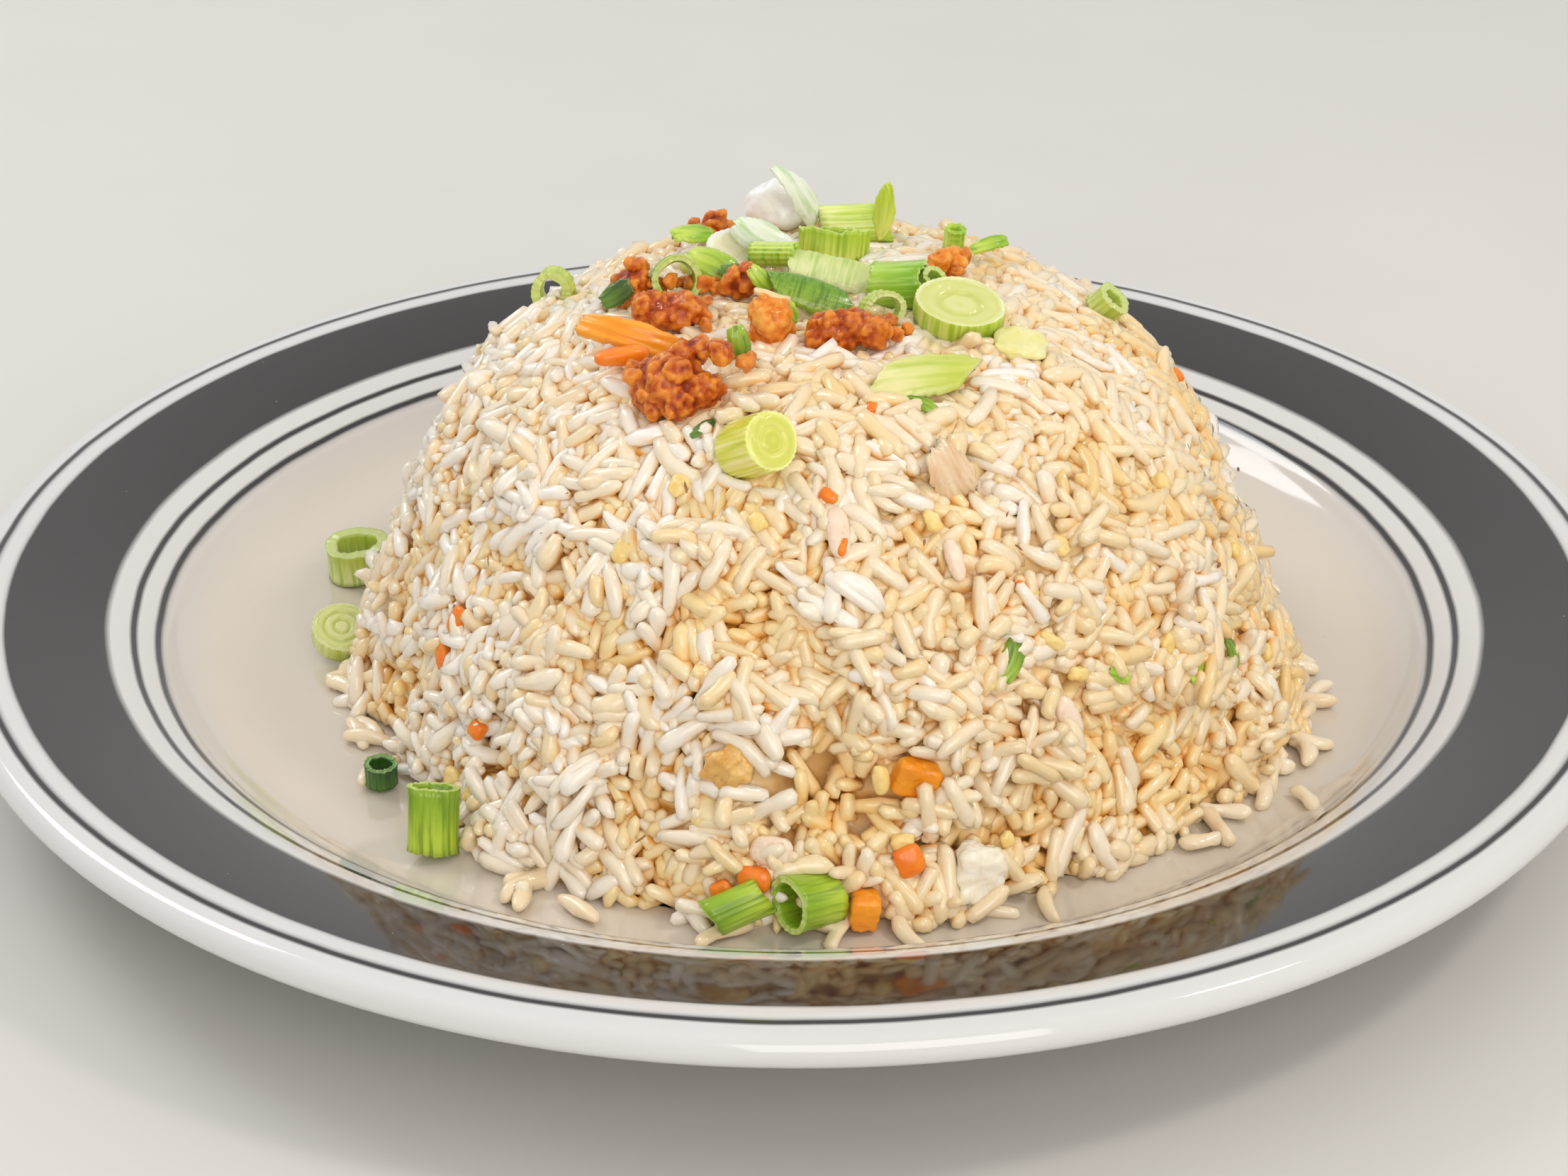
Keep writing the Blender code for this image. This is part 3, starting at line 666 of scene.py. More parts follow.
def set_on(thing, node, turn, grow=1.0, nudge=(0, 0, 0)):
    """Turn a piece that is made round its own middle, and centre its box on the node's box."""
    thing.data.transform(Matrix.Scale(grow, 4))
    thing.rotation_euler = Euler(np.radians(turn))
    points = np.empty(3 * len(thing.data.vertices), np.float32)
    thing.data.vertices.foreach_get("co", points)
    points = points.reshape(-1, 3) @ np.array(thing.rotation_euler.to_matrix()).T
    low, high = (np.array(corner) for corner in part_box(node))
    thing.location = 0.5 * (low + high) - 0.5 * (points.min(0) + points.max(0)) + np.array(nudge) * MM
    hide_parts(node)
    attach(thing, "root")
    return thing


def set_at(thing, place, turn):
    """Turn a small piece that has no node of its own, and put its middle at a place in mm."""
    thing.rotation_euler = Euler(np.radians(turn))
    thing.location = Vector(place) * MM
    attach(thing, "root")
    return thing


def scallion(name, low, high, streak, cut, along="Z", length=8.0, vein=0.8, turn=(0.4, 0.6), gloss=0.28):
    """Scallion, sliced raw: waxy and finely ribbed along the stalk, paling towards the root, wet where cut."""
    material, tree, body = new_material(
        name, Roughness=gloss, IOR=1.42, Coat_Weight=0.35, Coat_Roughness=0.12,
        Subsurface_Weight=0.18, Subsurface_Radius=(1.0, 1.0, 0.4), Subsurface_Scale=0.8 * MM)
    place = add(tree, "TexCoord")
    spot, facing = place.outputs["Object"], place.outputs["Normal"]
    stretch = [1.0, 1.0, 1.0]
    stretch["XYZ".index(along)] = 0.07
    drawn = add(tree, "VectorMath", {"operation": "MULTIPLY", 1: stretch}, {0: spot}).outputs["Vector"]
    split = add(tree, "SeparateXYZ", None, {0: spot}).outputs[along]
    blotch = add(tree, "TexNoise", {"Scale": per(3.0), "Detail": 3.0}, {"Vector": spot}).outputs["Fac"]
    way = add(tree, "MapRange", {"From Min": -0.5 * length * MM, "From Max": 0.5 * length * MM}, {"Value": split})
    way = add(tree, "Math", {"operation": "MULTIPLY_ADD", 1: 0.7}, {0: blotch, 2: way.outputs[0]}).outputs[0]
    way = add(tree, "MapRange", {"From Min": turn[0] + 0.1, "From Max": turn[1] + 0.6}, {"Value": way}).outputs[0]
    colour = add(tree, "Mix", {"data_type": "RGBA", 6: paint(low), 7: paint(high)}, {0: way}).outputs[2]
    fibre = add(tree, "TexNoise", {"Scale": per(vein), "Detail": 2.0, "Roughness": 0.6}, {"Vector": drawn})
    line = add(tree, "MapRange", {"From Min": 0.46, "From Max": 0.66, "To Max": 0.75}, {"Value": fibre.outputs["Fac"]})
    colour = add(tree, "Mix", {"data_type": "RGBA", 7: paint(streak)}, {0: line.outputs[0], 6: colour}).outputs[2]
    edge = add(tree, "SeparateXYZ", None, {0: facing}).outputs[along]
    edge = add(tree, "Math", {"operation": "ABSOLUTE"}, {0: edge}).outputs[0]
    face = add(tree, "MapRange", {"From Min": 0.6, "From Max": 0.9}, {"Value": edge}).outputs[0]
    wet = add(tree, "TexNoise", {"Scale": per(0.7), "Detail": 4.0}, {"Vector": spot}).outputs["Fac"]
    inner = add(tree, "Mix", {"data_type": "RGBA", 6: paint(cut), 7: paint(streak)}, {0: wet})
    part = add(tree, "Math", {"operation": "MULTIPLY", 1: 0.35}, {0: wet}).outputs[0]
    tree.links.new(part, inner.inputs[0])
    colour = add(tree, "Mix", {"data_type": "RGBA"}, {0: face, 6: colour, 7: inner.outputs[2]}).outputs[2]
    tree.links.new(colour, body.inputs["Base Color"])
    rough = add(tree, "MapRange", {"To Min": gloss - 0.08, "To Max": gloss + 0.16}, {"Value": wet}).outputs[0]
    tree.links.new(rough, body.inputs["Roughness"])
    bump = add(tree, "Bump", {"Strength": 0.5, "Distance": 0.16 * MM}, {"Height": fibre.outputs["Fac"]})
    fine = add(tree, "Bump", {"Strength": 0.3, "Distance": 0.08 * MM},
               {"Height": wet, "Normal": bump.outputs["Normal"]})
    tree.links.new(fine.outputs["Normal"], body.inputs["Normal"])
    return material


def cut_stem(name, size, wall, material, seed, slant=0.0, ribs=0.07, fray=0.14, dent=0.05, spike=None):
    """A short length of hollow stem along Z: ribbed, a little dented, its cut ends ragged and layered."""
    width, depth, length = size
    around, tall, across_wall = 108, 9, 5
    angle = np.linspace(0, math.tau, around, endpoint=False)
    skin = np.stack((np.cos(angle), np.sin(angle)), -1)
    count = round(math.pi * 0.5 * (width + depth) / 0.85)
    squash = 1.0 + dent * wander(angle, seed, 2, 5)
    thick = wall * (1.0 + 0.14 * wander(angle, seed + 1, 2, 6))
    ends = [0.5 * length + fray * wander(angle, seed + 2 + i, 3, 26) + 0.5 * slant * np.cos(angle) * (1, -1)[i]
            for i in range(2)]
    if spike:
        towards, reach, spread = spike
        away = (angle - math.radians(towards) + math.pi) % math.tau - math.pi
        ends[0] = ends[0] + reach * np.exp(-(away / spread) ** 2)

    def ring(share, inward, lift=0.0):
        """Points at a share of the way up, -1 to 1, and a share of the wall in from the skin."""
        tall_here = np.where(share > 0, ends[0], ends[1]) * share + lift * np.sign(share)
        groove = ribs * np.cos(count * angle + 0.8 * wander(angle, seed + 7, 2, 5)) * (1.0 - 0.7 * inward)
        flare = 1.0 + 0.05 * share ** 4 + 0.02 * wander(angle + share, seed + 5, 2, 4)
        out_x = 0.5 * width * squash * flare + groove - thick * inward
        out_y = 0.5 * depth * squash * flare + groove - thick * inward
        over = np.maximum(tall_here - 0.5 * length - 0.6, 0.0) if spike else 0.0
        return np.stack((out_x * skin[:, 0] - 0.95 * over, out_y * skin[:, 1], tall_here - 0.8 * over), -1)

    shares = np.linspace(-1, 1, tall)
    steps = np.linspace(0, 1, across_wall + 2)[1:-1]
    layer = 0.09 * np.cos(steps * math.tau * max(round(wall / 0.7), 1)) - 0.03
    rows = [ring(share, 0.0) for share in shares]
    rows += [ring(1.0, step, high) for step, high in zip(steps, layer)]
    rows += [ring(share, 1.0) for share in shares[::-1]]
    rows += [ring(-1.0, step, high) for step, high in zip(steps[::-1], layer[::-1])]
    return loft(name, np.array(rows), material, wrapped=True)


def cut_strip(name, size, bend, curl, tip, material, seed, twist=0.0, ribs=0.05, fray=0.25, lines=0.8, skew=0.0):
    """A strip along X that arcs down, curls sideways and tapers, with ridges and uneven edges."""
    length, width, thick = size
    rows, half = 56, 22
    rng = np.random.default_rng(seed)
    u = np.linspace(0, 1, rows)
    v = np.linspace(1, 0, half)
    taper = tip + (1.0 - tip) * np.sin(math.pi * np.clip(u, 0.015, 0.985)) ** 0.7
    side_wander = [1.0 + 0.07 * wander(u * math.tau * 0.8 + 5 * i, seed + i, 2, 16) for i in range(2)]
    end_wander = fray * wander(v * 4.0, seed + 9, 2, 14)
    turn = math.radians(bend)
    radius = length / max(turn, 0.01)
    swing = math.radians(curl)
    phase = rng.uniform(0, math.tau, 3)
    rings = []
    for index, share in enumerate(u):
        wide = width * taper[index]
        y_share = (v - 0.5) * np.where(v > 0.5, side_wander[0][index], side_wander[1][index])
        arc = swing * y_share
        bow = wide / max(abs(swing), 0.01) * (1 if swing >= 0 else -1)
        edge = np.clip((0.5 - np.abs(v - 0.5)) / 0.14, 0.0, 1.0) ** 0.5
        ridge = ribs * np.sin(math.tau * v * wide / lines + phase[0] + 0.6 * math.sin(5 * share + phase[1]))
        surfaces = []
        for level in (0.5, -0.5):
            out = bow + level * thick * (0.25 + 0.75 * edge) + ridge * (1 if level > 0 else 0.5)
            surfaces.append(np.stack((out * np.sin(arc), out * np.cos(arc) - bow), -1))
        section = np.concatenate((surfaces[0], surfaces[1][::-1]))
        lean = math.radians(twist) * (share - 0.5)
        y = section[:, 0] * math.cos(lean) - section[:, 1] * math.sin(lean)
        z = section[:, 0] * math.sin(lean) + section[:, 1] * math.cos(lean)
        ends = np.concatenate((end_wander, end_wander[::-1])) * (2.0 * abs(share - 0.5)) ** 3
        reach = turn * (share - 0.5) * (1.0 + 2.0 * ends / length) + skew * y / max(radius, 0.1)
        lift = radius + z
        rings.append(np.stack((lift * np.sin(reach), y, lift * np.cos(reach) - radius), -1))
    return loft(name, np.array(rings), material)


def stem_slice(name, size, material, seed, layers=3, dome=0.5, ribs=0.08):
    """A slice of stem lying flat: ribbed rim, and rings of leaf one inside the other on its face."""
    width, depth, thick = size
    around, count = 120, round(math.pi * 0.5 * (size[0] + size[1]) / 0.9)
    angle = np.linspace(0, math.tau, around, endpoint=False)
    skin = np.stack((np.cos(angle) * width, np.sin(angle) * depth), -1) * 0.5
    wave = wander(angle, seed, 2, 5)
    rows = []

    def ring(share, height):
        """Points at a share of the way out, at a height."""
        rib = 1.0 + (0.03 * wave + ribs * np.cos(count * angle) * 2.0 / width) * min(share, 1.0) ** 8
        rib = rib + 0.02 * wander(angle, seed + 3, 2, 6) * (1.0 - share)
        top = height + 0.12 * wander(angle + 3.0 * share, seed + 4, 2, 9) * share
        return np.concatenate((skin * (share * rib)[:, None], top[:, None]), -1)

    for share in np.linspace(0.08, 0.97, 6):
        rows.append(ring(share, -0.5 * thick))
    for height in np.linspace(-0.46, 0.46, 9):
        rows.append(ring(1.0 + 0.02 * math.cos(height * 3.0), height * thick))
    for share in np.linspace(0.985, 0.04, 36):
        groove = 0.5 + 0.5 * math.cos(math.tau * layers * (share + 0.06))
        groove = 0.30 * groove ** 6 * min(1.0, 12.0 * (1.0 - share))
        rows.append(ring(share, 0.5 * thick - groove + dome * (1.0 - share ** 2) * 0.5))
    rings = np.array(rows)
    return loft(name, rings, material)


def stalk_faces(name, skin_low, skin_high, streak, faces, size, layers=3, gloss=0.26):
    """Scallion cut across the stalk: pale wet rings on the face, green ribs round the rim."""
    material, tree, body = new_material(
        name, Roughness=gloss, IOR=1.42, Coat_Weight=0.4, Coat_Roughness=0.1,
        Subsurface_Weight=0.35, Subsurface_Radius=(0.9, 1.0, 0.4), Subsurface_Scale=1.1 * MM)
    place = add(tree, "TexCoord")
    spot = place.outputs["Object"]
    shrink = (2.0 / (size[0] * MM), 2.0 / (size[1] * MM), 0.0)
    flat = add(tree, "VectorMath", {"operation": "MULTIPLY", 1: shrink}, {0: spot}).outputs["Vector"]
    radius = add(tree, "VectorMath", {"operation": "LENGTH"}, {0: flat}).outputs["Value"]
    blotch = add(tree, "TexNoise", {"Scale": per(1.8), "Detail": 4.0}, {"Vector": spot}).outputs["Fac"]
    radius = add(tree, "Math", {"operation": "MULTIPLY_ADD", 1: 0.14}, {0: blotch, 2: radius}).outputs[0]
    wave = add(tree, "Math", {"operation": "MULTIPLY_ADD", 1: math.tau * layers, 2: -0.4}, {0: radius}).outputs[0]
    wave = add(tree, "Math", {"operation": "COSINE"}, {0: wave}).outputs[0]
    stops = [(0.0, paint(faces[0])), (0.62, paint(faces[1])), (0.93, paint(faces[2])), (1.0, paint(streak))]
    shown = add(tree, "MapRange", {"From Min": -1.0, "From Max": 1.0}, {"Value": wave}).outputs[0]
    shown = add(tree, "Math", {"operation": "MULTIPLY_ADD", 1: 0.55, 2: -0.2}, {0: shown}).outputs[0]
    shown = add(tree, "Math", {"operation": "MULTIPLY_ADD", 1: 0.55}, {0: radius, 2: shown}).outputs[0]
    top = add(tree, "ValToRGB", {"stops": stops}, {"Fac": shown}).outputs["Color"]
    drawn = add(tree, "VectorMath", {"operation": "MULTIPLY", 1: (1, 1, 0.06)}, {0: spot}).outputs["Vector"]
    fibre = add(tree, "TexNoise", {"Scale": per(0.85), "Detail": 2.0}, {"Vector": drawn}).outputs["Fac"]
    stops = [(0.36, paint(skin_low)), (0.56, paint(skin_high)), (0.72, paint(streak))]
    rim = add(tree, "ValToRGB", {"stops": stops}, {"Fac": fibre}).outputs["Color"]
    facing = add(tree, "SeparateXYZ", None, {0: place.outputs["Normal"]}).outputs["Z"]
    facing = add(tree, "Math", {"operation": "ABSOLUTE"}, {0: facing}).outputs[0]
    face = add(tree, "MapRange", {"From Min": 0.45, "From Max": 0.75}, {"Value": facing}).outputs[0]
    colour = add(tree, "Mix", {"data_type": "RGBA"}, {0: face, 6: rim, 7: top}).outputs[2]
    tree.links.new(colour, body.inputs["Base Color"])
    cells = add(tree, "TexVoronoi", {"Scale": per(0.45)}, {"Vector": spot}).outputs["Distance"]
    bump = add(tree, "Bump", {"Strength": 0.35, "Distance": 0.1 * MM}, {"Height": cells})
    drawn_bump = add(tree, "Bump", {"Strength": 0.4, "Distance": 0.15 * MM},
                     {"Height": fibre, "Normal": bump.outputs["Normal"]})
    tree.links.new(drawn_bump.outputs["Normal"], body.inputs["Normal"])
    return material


def swell(points, normals, layers, seed):
    """Push points out along their normals by layers of noise, each a size and an amount in mm."""
    shift = Vector((seed * 3.7, seed * 1.9, seed * 5.3))
    push = np.zeros(len(points))
    for size, amount, kind in layers:
        for index, spot in enumerate(points):
            place = Vector(spot) / size + shift
            if kind == "cells":
                push[index] += amount * (0.5 - noise.voronoi(place)[0][0])
            else:
                push[index] += amount * noise.noise(place)
    return points + normals * push[:, None]


def nodule_lump(name, size, knobs, knob, seed, material, voxel=0.32, core=0.55):
    """A crumb cluster: nodules of mixed size packed in an ellipsoid, run together and crinkled."""
    rng = np.random.default_rng(seed)
    half = 0.5 * np.array(size)
    bm = bmesh.new()
    spots = [(np.zeros(3), core * half)]
    for _ in range(knobs):
        radius = rng.uniform(*knob)
        way = unit(rng.normal(0, 1, 3))
        far = rng.uniform(0.55, 1.0) ** 0.5
        shape = radius * rng.uniform(0.75, 1.2, 3)
        spots.append((way * np.maximum(half - shape, 0.1) * far, shape))
    for spot, shape in spots:
        frame_here = Matrix.Translation(Vector(spot)) @ Matrix.Diagonal((*shape, 1.0))
        bmesh.ops.create_icosphere(bm, subdivisions=3, radius=1.0, matrix=frame_here)
    mesh = bpy.data.meshes.new(name + "_rough")
    bm.to_mesh(mesh)
    bm.free()
    rough = bpy.data.objects.new(name + "_rough", mesh)
    bpy.context.scene.collection.objects.link(rough)
    remesh = rough.modifiers.new("one skin", "REMESH")
    remesh.mode = "VOXEL"
    remesh.voxel_size = voxel
    made = bpy.data.meshes.new_from_object(rough.evaluated_get(bpy.context.evaluated_depsgraph_get()))
    points, normals, quads, triangles = mesh_arrays(made)
    bpy.data.objects.remove(rough)
    bpy.data.meshes.remove(mesh)
    bpy.data.meshes.remove(made)
    crinkle = ((1.5, 0.5, "smooth"), (1.0, 0.42, "cells"), (0.55, 0.18, "smooth"))
    thing = mesh_object(name, swell(points, normals, crinkle, seed), quads, triangles, material)
    mark_creases(thing)
    return thing


def mark_creases(thing):
    """Mark each point from 0 on a ridge to 1 in a crease, from how its neighbours stand round it, for the painted shade
    in the creases.
    """
    mesh = thing.data
    count = len(mesh.vertices)
    points, normals = np.empty(3 * count, np.float32), np.empty(3 * count, np.float32)
    mesh.vertices.foreach_get("co", points)
    mesh.vertex_normals.foreach_get("vector", normals)
    points, normals = points.reshape(-1, 3) / MM, normals.reshape(-1, 3)
    edges = np.empty(2 * len(mesh.edges), np.int32)
    mesh.edges.foreach_get("vertices", edges)
    first, second = np.concatenate((edges[0::2], edges[1::2])), np.concatenate((edges[1::2], edges[0::2]))
    near = np.maximum(np.bincount(first, minlength=count), 1)

    def spread(values):
        """Each point's mean over its neighbours."""
        return np.bincount(first, values[second], count) / near

    smooth = np.stack([spread(points[:, i]) for i in range(3)], -1)
    for _ in range(2):
        smooth = np.stack([spread(smooth[:, i]) for i in range(3)], -1)
    crease_shade = ((smooth - points) * normals).sum(1)
    crease_shade = 0.5 * (spread(crease_shade) + crease_shade)
    crease_shade = np.clip(0.5 + crease_shade / 0.32, 0.0, 1.0)
    mesh.attributes.new("painted_crease_shade", "FLOAT", "POINT").data.foreach_set("value", crease_shade.astype(np.float32))


def mesh_arrays(mesh):
    """The points, point normals, quads and triangles of a mesh."""
    points = np.array([vert.co for vert in mesh.vertices])
    normals = np.array([vert.normal for vert in mesh.vertices])
    quads = np.array([face.vertices[:] for face in mesh.polygons if len(face.vertices) == 4], int).reshape(-1, 4)
    triangles = np.array([face.vertices[:] for face in mesh.polygons if len(face.vertices) == 3], int)
    return points, normals, quads, triangles.reshape(-1, 3)


def lump_arrays(size, layers, seed, square, detail):
    """The points, quads and triangles of a ball, squarer as square rises, swollen by layers of noise."""
    bm = bmesh.new()
    bmesh.ops.create_icosphere(bm, subdivisions=detail, radius=1.0)
    mesh = bpy.data.meshes.new("rough")
    bm.to_mesh(mesh)
    bm.free()
    points, normals, quads, triangles = mesh_arrays(mesh)
    bpy.data.meshes.remove(mesh)
    full = (np.abs(points) ** square).sum(1) ** (-1.0 / square)
    points = points * full[:, None] * 0.5 * np.array(size)
    return swell(points, normals, layers, seed), quads, triangles


def soft_lump(name, size, layers, seed, material, square=2.0, detail=5):
    """A soft or cut piece, swollen by layers of noise."""
    return mesh_object(name, *lump_arrays(size, layers, seed, square, detail), material)


def fried_garlic(name, dark, mid, light, knob=2.2):
    """Garlic and crumb, deep fried: crisp and glassy with oil, deep red brown to amber in patches, and darker in the
    creases as painted shade.
    """
    material, tree, body = new_material(
        name, Roughness=0.3, IOR=1.47, Specular_IOR_Level=0.2, Coat_Weight=0.4, Coat_Roughness=0.08,
        Subsurface_Weight=0.12, Subsurface_Radius=(1.0, 0.3, 0.08), Subsurface_Scale=0.8 * MM)
    spot = add(tree, "TexCoord").outputs["Object"]
    bent = add(tree, "TexNoise", {"Scale": per(1.4), "Detail": 3.0}, {"Vector": spot}).outputs["Color"]
    bent = add(tree, "VectorMath", {"operation": "MULTIPLY_ADD", 1: (0.9 * MM,) * 3}, {0: bent, 2: spot})
    cells = add(tree, "TexVoronoi", {"Scale": per(knob), "feature": "SMOOTH_F1", "Smoothness": 0.6},
                {"Vector": bent.outputs["Vector"]})
    grey = add(tree, "SeparateXYZ", None, {0: cells.outputs["Color"]}).outputs["X"]
    patch = add(tree, "TexNoise", {"Scale": per(2.2), "Detail": 5.0, "Roughness": 0.6}, {"Vector": spot}).outputs["Fac"]
    blend = add(tree, "Math", {"operation": "MULTIPLY_ADD", 1: 0.2}, {0: grey, 2: patch}).outputs[0]
    # painted shade: the creases are darkened towards deep red brown
    crease_shade = add(tree, "Attribute", {"attribute_name": "painted_crease_shade"}).outputs["Fac"]
    blend = add(tree, "Math", {"operation": "MULTIPLY_ADD", 1: -0.6}, {0: crease_shade, 2: blend}).outputs[0]
    stops = [(0.0, paint(dark)), (0.24, paint(mid)), (0.62, paint(light))]
    colour = add(tree, "ValToRGB", {"stops": stops}, {"Fac": blend}).outputs["Color"]
    tree.links.new(colour, body.inputs["Base Color"])
    fine = add(tree, "TexNoise", {"Scale": per(0.6), "Detail": 5.0, "Roughness": 0.65}, {"Vector": spot}).outputs["Fac"]
    rough = add(tree, "MapRange", {"To Min": 0.14, "To Max": 0.4}, {"Value": fine}).outputs[0]
    tree.links.new(rough, body.inputs["Roughness"])
    bump = add(tree, "Bump", {"Strength": 0.7, "Distance": 0.25 * MM}, {"Height": fine})
    tree.links.new(bump.outputs["Normal"], body.inputs["Normal"])
    return material


def soft_bite(name, low, high, fleck, gloss=0.28, glow=(1.0, 0.7, 0.4), fibre=None, glow_weight=0.35):
    """Cooked vegetable or egg: soft, moist and a little see-through, cloudy inside, with finer fibres if cut."""
    material, tree, body = new_material(
        name, Roughness=gloss, IOR=1.42, Coat_Weight=0.35, Coat_Roughness=0.14,
        Subsurface_Weight=glow_weight, Subsurface_Radius=glow, Subsurface_Scale=1.0 * MM)
    spot = add(tree, "TexCoord").outputs["Object"]
    if fibre:
        spot = add(tree, "VectorMath", {"operation": "MULTIPLY", 1: fibre}, {0: spot}).outputs["Vector"]
    cloud = add(tree, "TexNoise", {"Scale": per(2.4), "Detail": 4.0}, {"Vector": spot}).outputs["Fac"]
    stops = [(0.34, paint(low)), (0.66, paint(high))]
    colour = add(tree, "ValToRGB", {"stops": stops}, {"Fac": cloud}).outputs["Color"]
    fine = add(tree, "TexNoise", {"Scale": per(0.6), "Detail": 4.0}, {"Vector": spot}).outputs["Fac"]
    amount = add(tree, "MapRange", {"From Min": 0.55, "From Max": 0.8, "To Max": 0.7}, {"Value": fine}).outputs[0]
    colour = add(tree, "Mix", {"data_type": "RGBA", 7: paint(fleck)}, {0: amount, 6: colour}).outputs[2]
    tree.links.new(colour, body.inputs["Base Color"])
    rough = add(tree, "MapRange", {"To Min": gloss - 0.1, "To Max": gloss + 0.15}, {"Value": cloud}).outputs[0]
    tree.links.new(rough, body.inputs["Roughness"])
    bump = add(tree, "Bump", {"Strength": 0.45, "Distance": 0.15 * MM}, {"Height": fine})
    tree.links.new(bump.outputs["Normal"], body.inputs["Normal"])
    return material


def make_stems():
    """Hollow and solid slices of scallion stem on the crown, the shoulders and the plate."""
    lemon = scallion("yellow_green_scallion", "#e9ef9a", "#c6dc52", "#b4cf3e", "#eef3b4", length=10)
    fresh = scallion("fresh_green_scallion", "#d6e066", "#b4ce3c", "#8eb024", "#dde890", length=5)
    deep = scallion("leaf_green_scallion", "#a6cc42", "#84b42c", "#bedc74", "#cce094", length=8, gloss=0.22)
    shoot = scallion("shoot_green_scallion", "#b4cc3c", "#8eb226", "#688c14", "#cfdc80", length=8)
    root = scallion("pale_green_scallion", "#dfe79a", "#bccc50", "#9cb738", "#d5dd92", length=6)
    forest = scallion("dark_green_scallion", "#4c7d2c", "#2f5c1d", "#1f4412", "#86a860", length=4)
    stems = (
        ("yellow_green_stem", (6.6, 6.6, 10.8), 1.3, 1.5, lemon, (0, 90, 8), "pale_scallion", 0.05),
        ("ribbed_green_stem", (11.0, 4.4, 4.6), 0.9, 0.6, fresh, (-14, 4, -6), "green_scallion", 0.14),
        ("folded_green_stem", (7.8, 7.0, 7.8), 0.9, -1.2, deep, (0, 82, -14), "deep_green_scallion", 0.03),
        ("hollow_green_ring", (7.4, 7.2, 3.8), 1.0, 0.0, shoot, (68, 0, 12), "green_scallion", 0.06),
        ("arched_green_left", (6.2, 6.8, 2.8), 1.4, 0.0, fresh, (86, 0, -10), "green_scallion", 0.05),
        ("shoulder_green_right", (5.4, 4.6, 3.6), 1.2, 0.0, root, (10, 44, -20), "pale_scallion", 0.06),
        ("thick_ring_left", (10.6, 9.6, 5.6), 1.9, 0.5, root, (4, -3, 0), "pale_scallion", 0.05),
        ("dark_ring_left", (4.8, 4.2, 3.6), 0.8, 0.0, forest, (10, 0, 16), "deep_green_scallion", 0.06),
        ("green_tube_left", (7.4, 4.4, 9.8), 0.9, -0.8, shoot, (-12, 6, 18), "green_scallion", 0.05),
        ("green_tube_front", (7.6, 7.8, 7.4), 0.9, 0.8, shoot, (0, -78, 38), "green_scallion", 0.03),
        ("green_curl_front", (6.2, 4.6, 8.2), 0.9, 2.0, shoot, (0, -102, 24), "green_scallion", 0.04),
    )
    for seed, (node, size, wall, slant, material, turn, slot, ribs) in enumerate(stems):
        spike = (180.0, 2.4, 0.6) if node == "yellow_green_stem" else None
        fray = 0.34 if node in ("ribbed_green_stem", "folded_green_stem") else 0.14
        piece = cut_stem(node + "_cut", size, wall, material, 20 + seed * 11, slant, ribs, fray, spike=spike)
        set_on(piece, node, turn)

    faces = ("#dcdf96", "#d2d67c", "#e6e8b2")
    slices = (
        ("oval_slice_right", (13.4, 9.8, 4.0), ("#d3e07a", "#b3cf3c", "#97bd2e"), faces, (22, 8, -8), 2),
        ("pale_slice_left", (9.4, 9.2, 3.4), ("#dde59a", "#c4d25e", "#a5bb45"), ("#dfe3a4", "#cdd67c", "#e3e7b4"),
         (28, 6, 10), 3),
        ("rolled_slice_front", (8.3, 8.4, 9.0), ("#f2eda2", "#dfe04e", "#c4cc30"), ("#cfd458", "#e0e074", "#eef09c"),
         (58, 20, 24), 2),
        ("white_oval_stem", (10.2, 7.2, 3.0), ("#f2f4ea", "#e4ebd8", "#c8d8a6"), ("#e2dcae", "#e9e6c8", "#f6f7f0"),
         (30, 0, 8), 1),
    )
    for seed, (node, size, rim, faces, turn, layers) in enumerate(slices):
        material = stalk_faces(node + "_wet", *rim, faces, size, layers)
        piece = stem_slice(node + "_cut", size, material, 300 + seed * 7, layers, (-1.6, 0.3, 0.5, 0.4)[seed])
        slot = "white_scallion" if node == "white_oval_stem" else "pale_scallion"
        set_on(piece, node, turn)


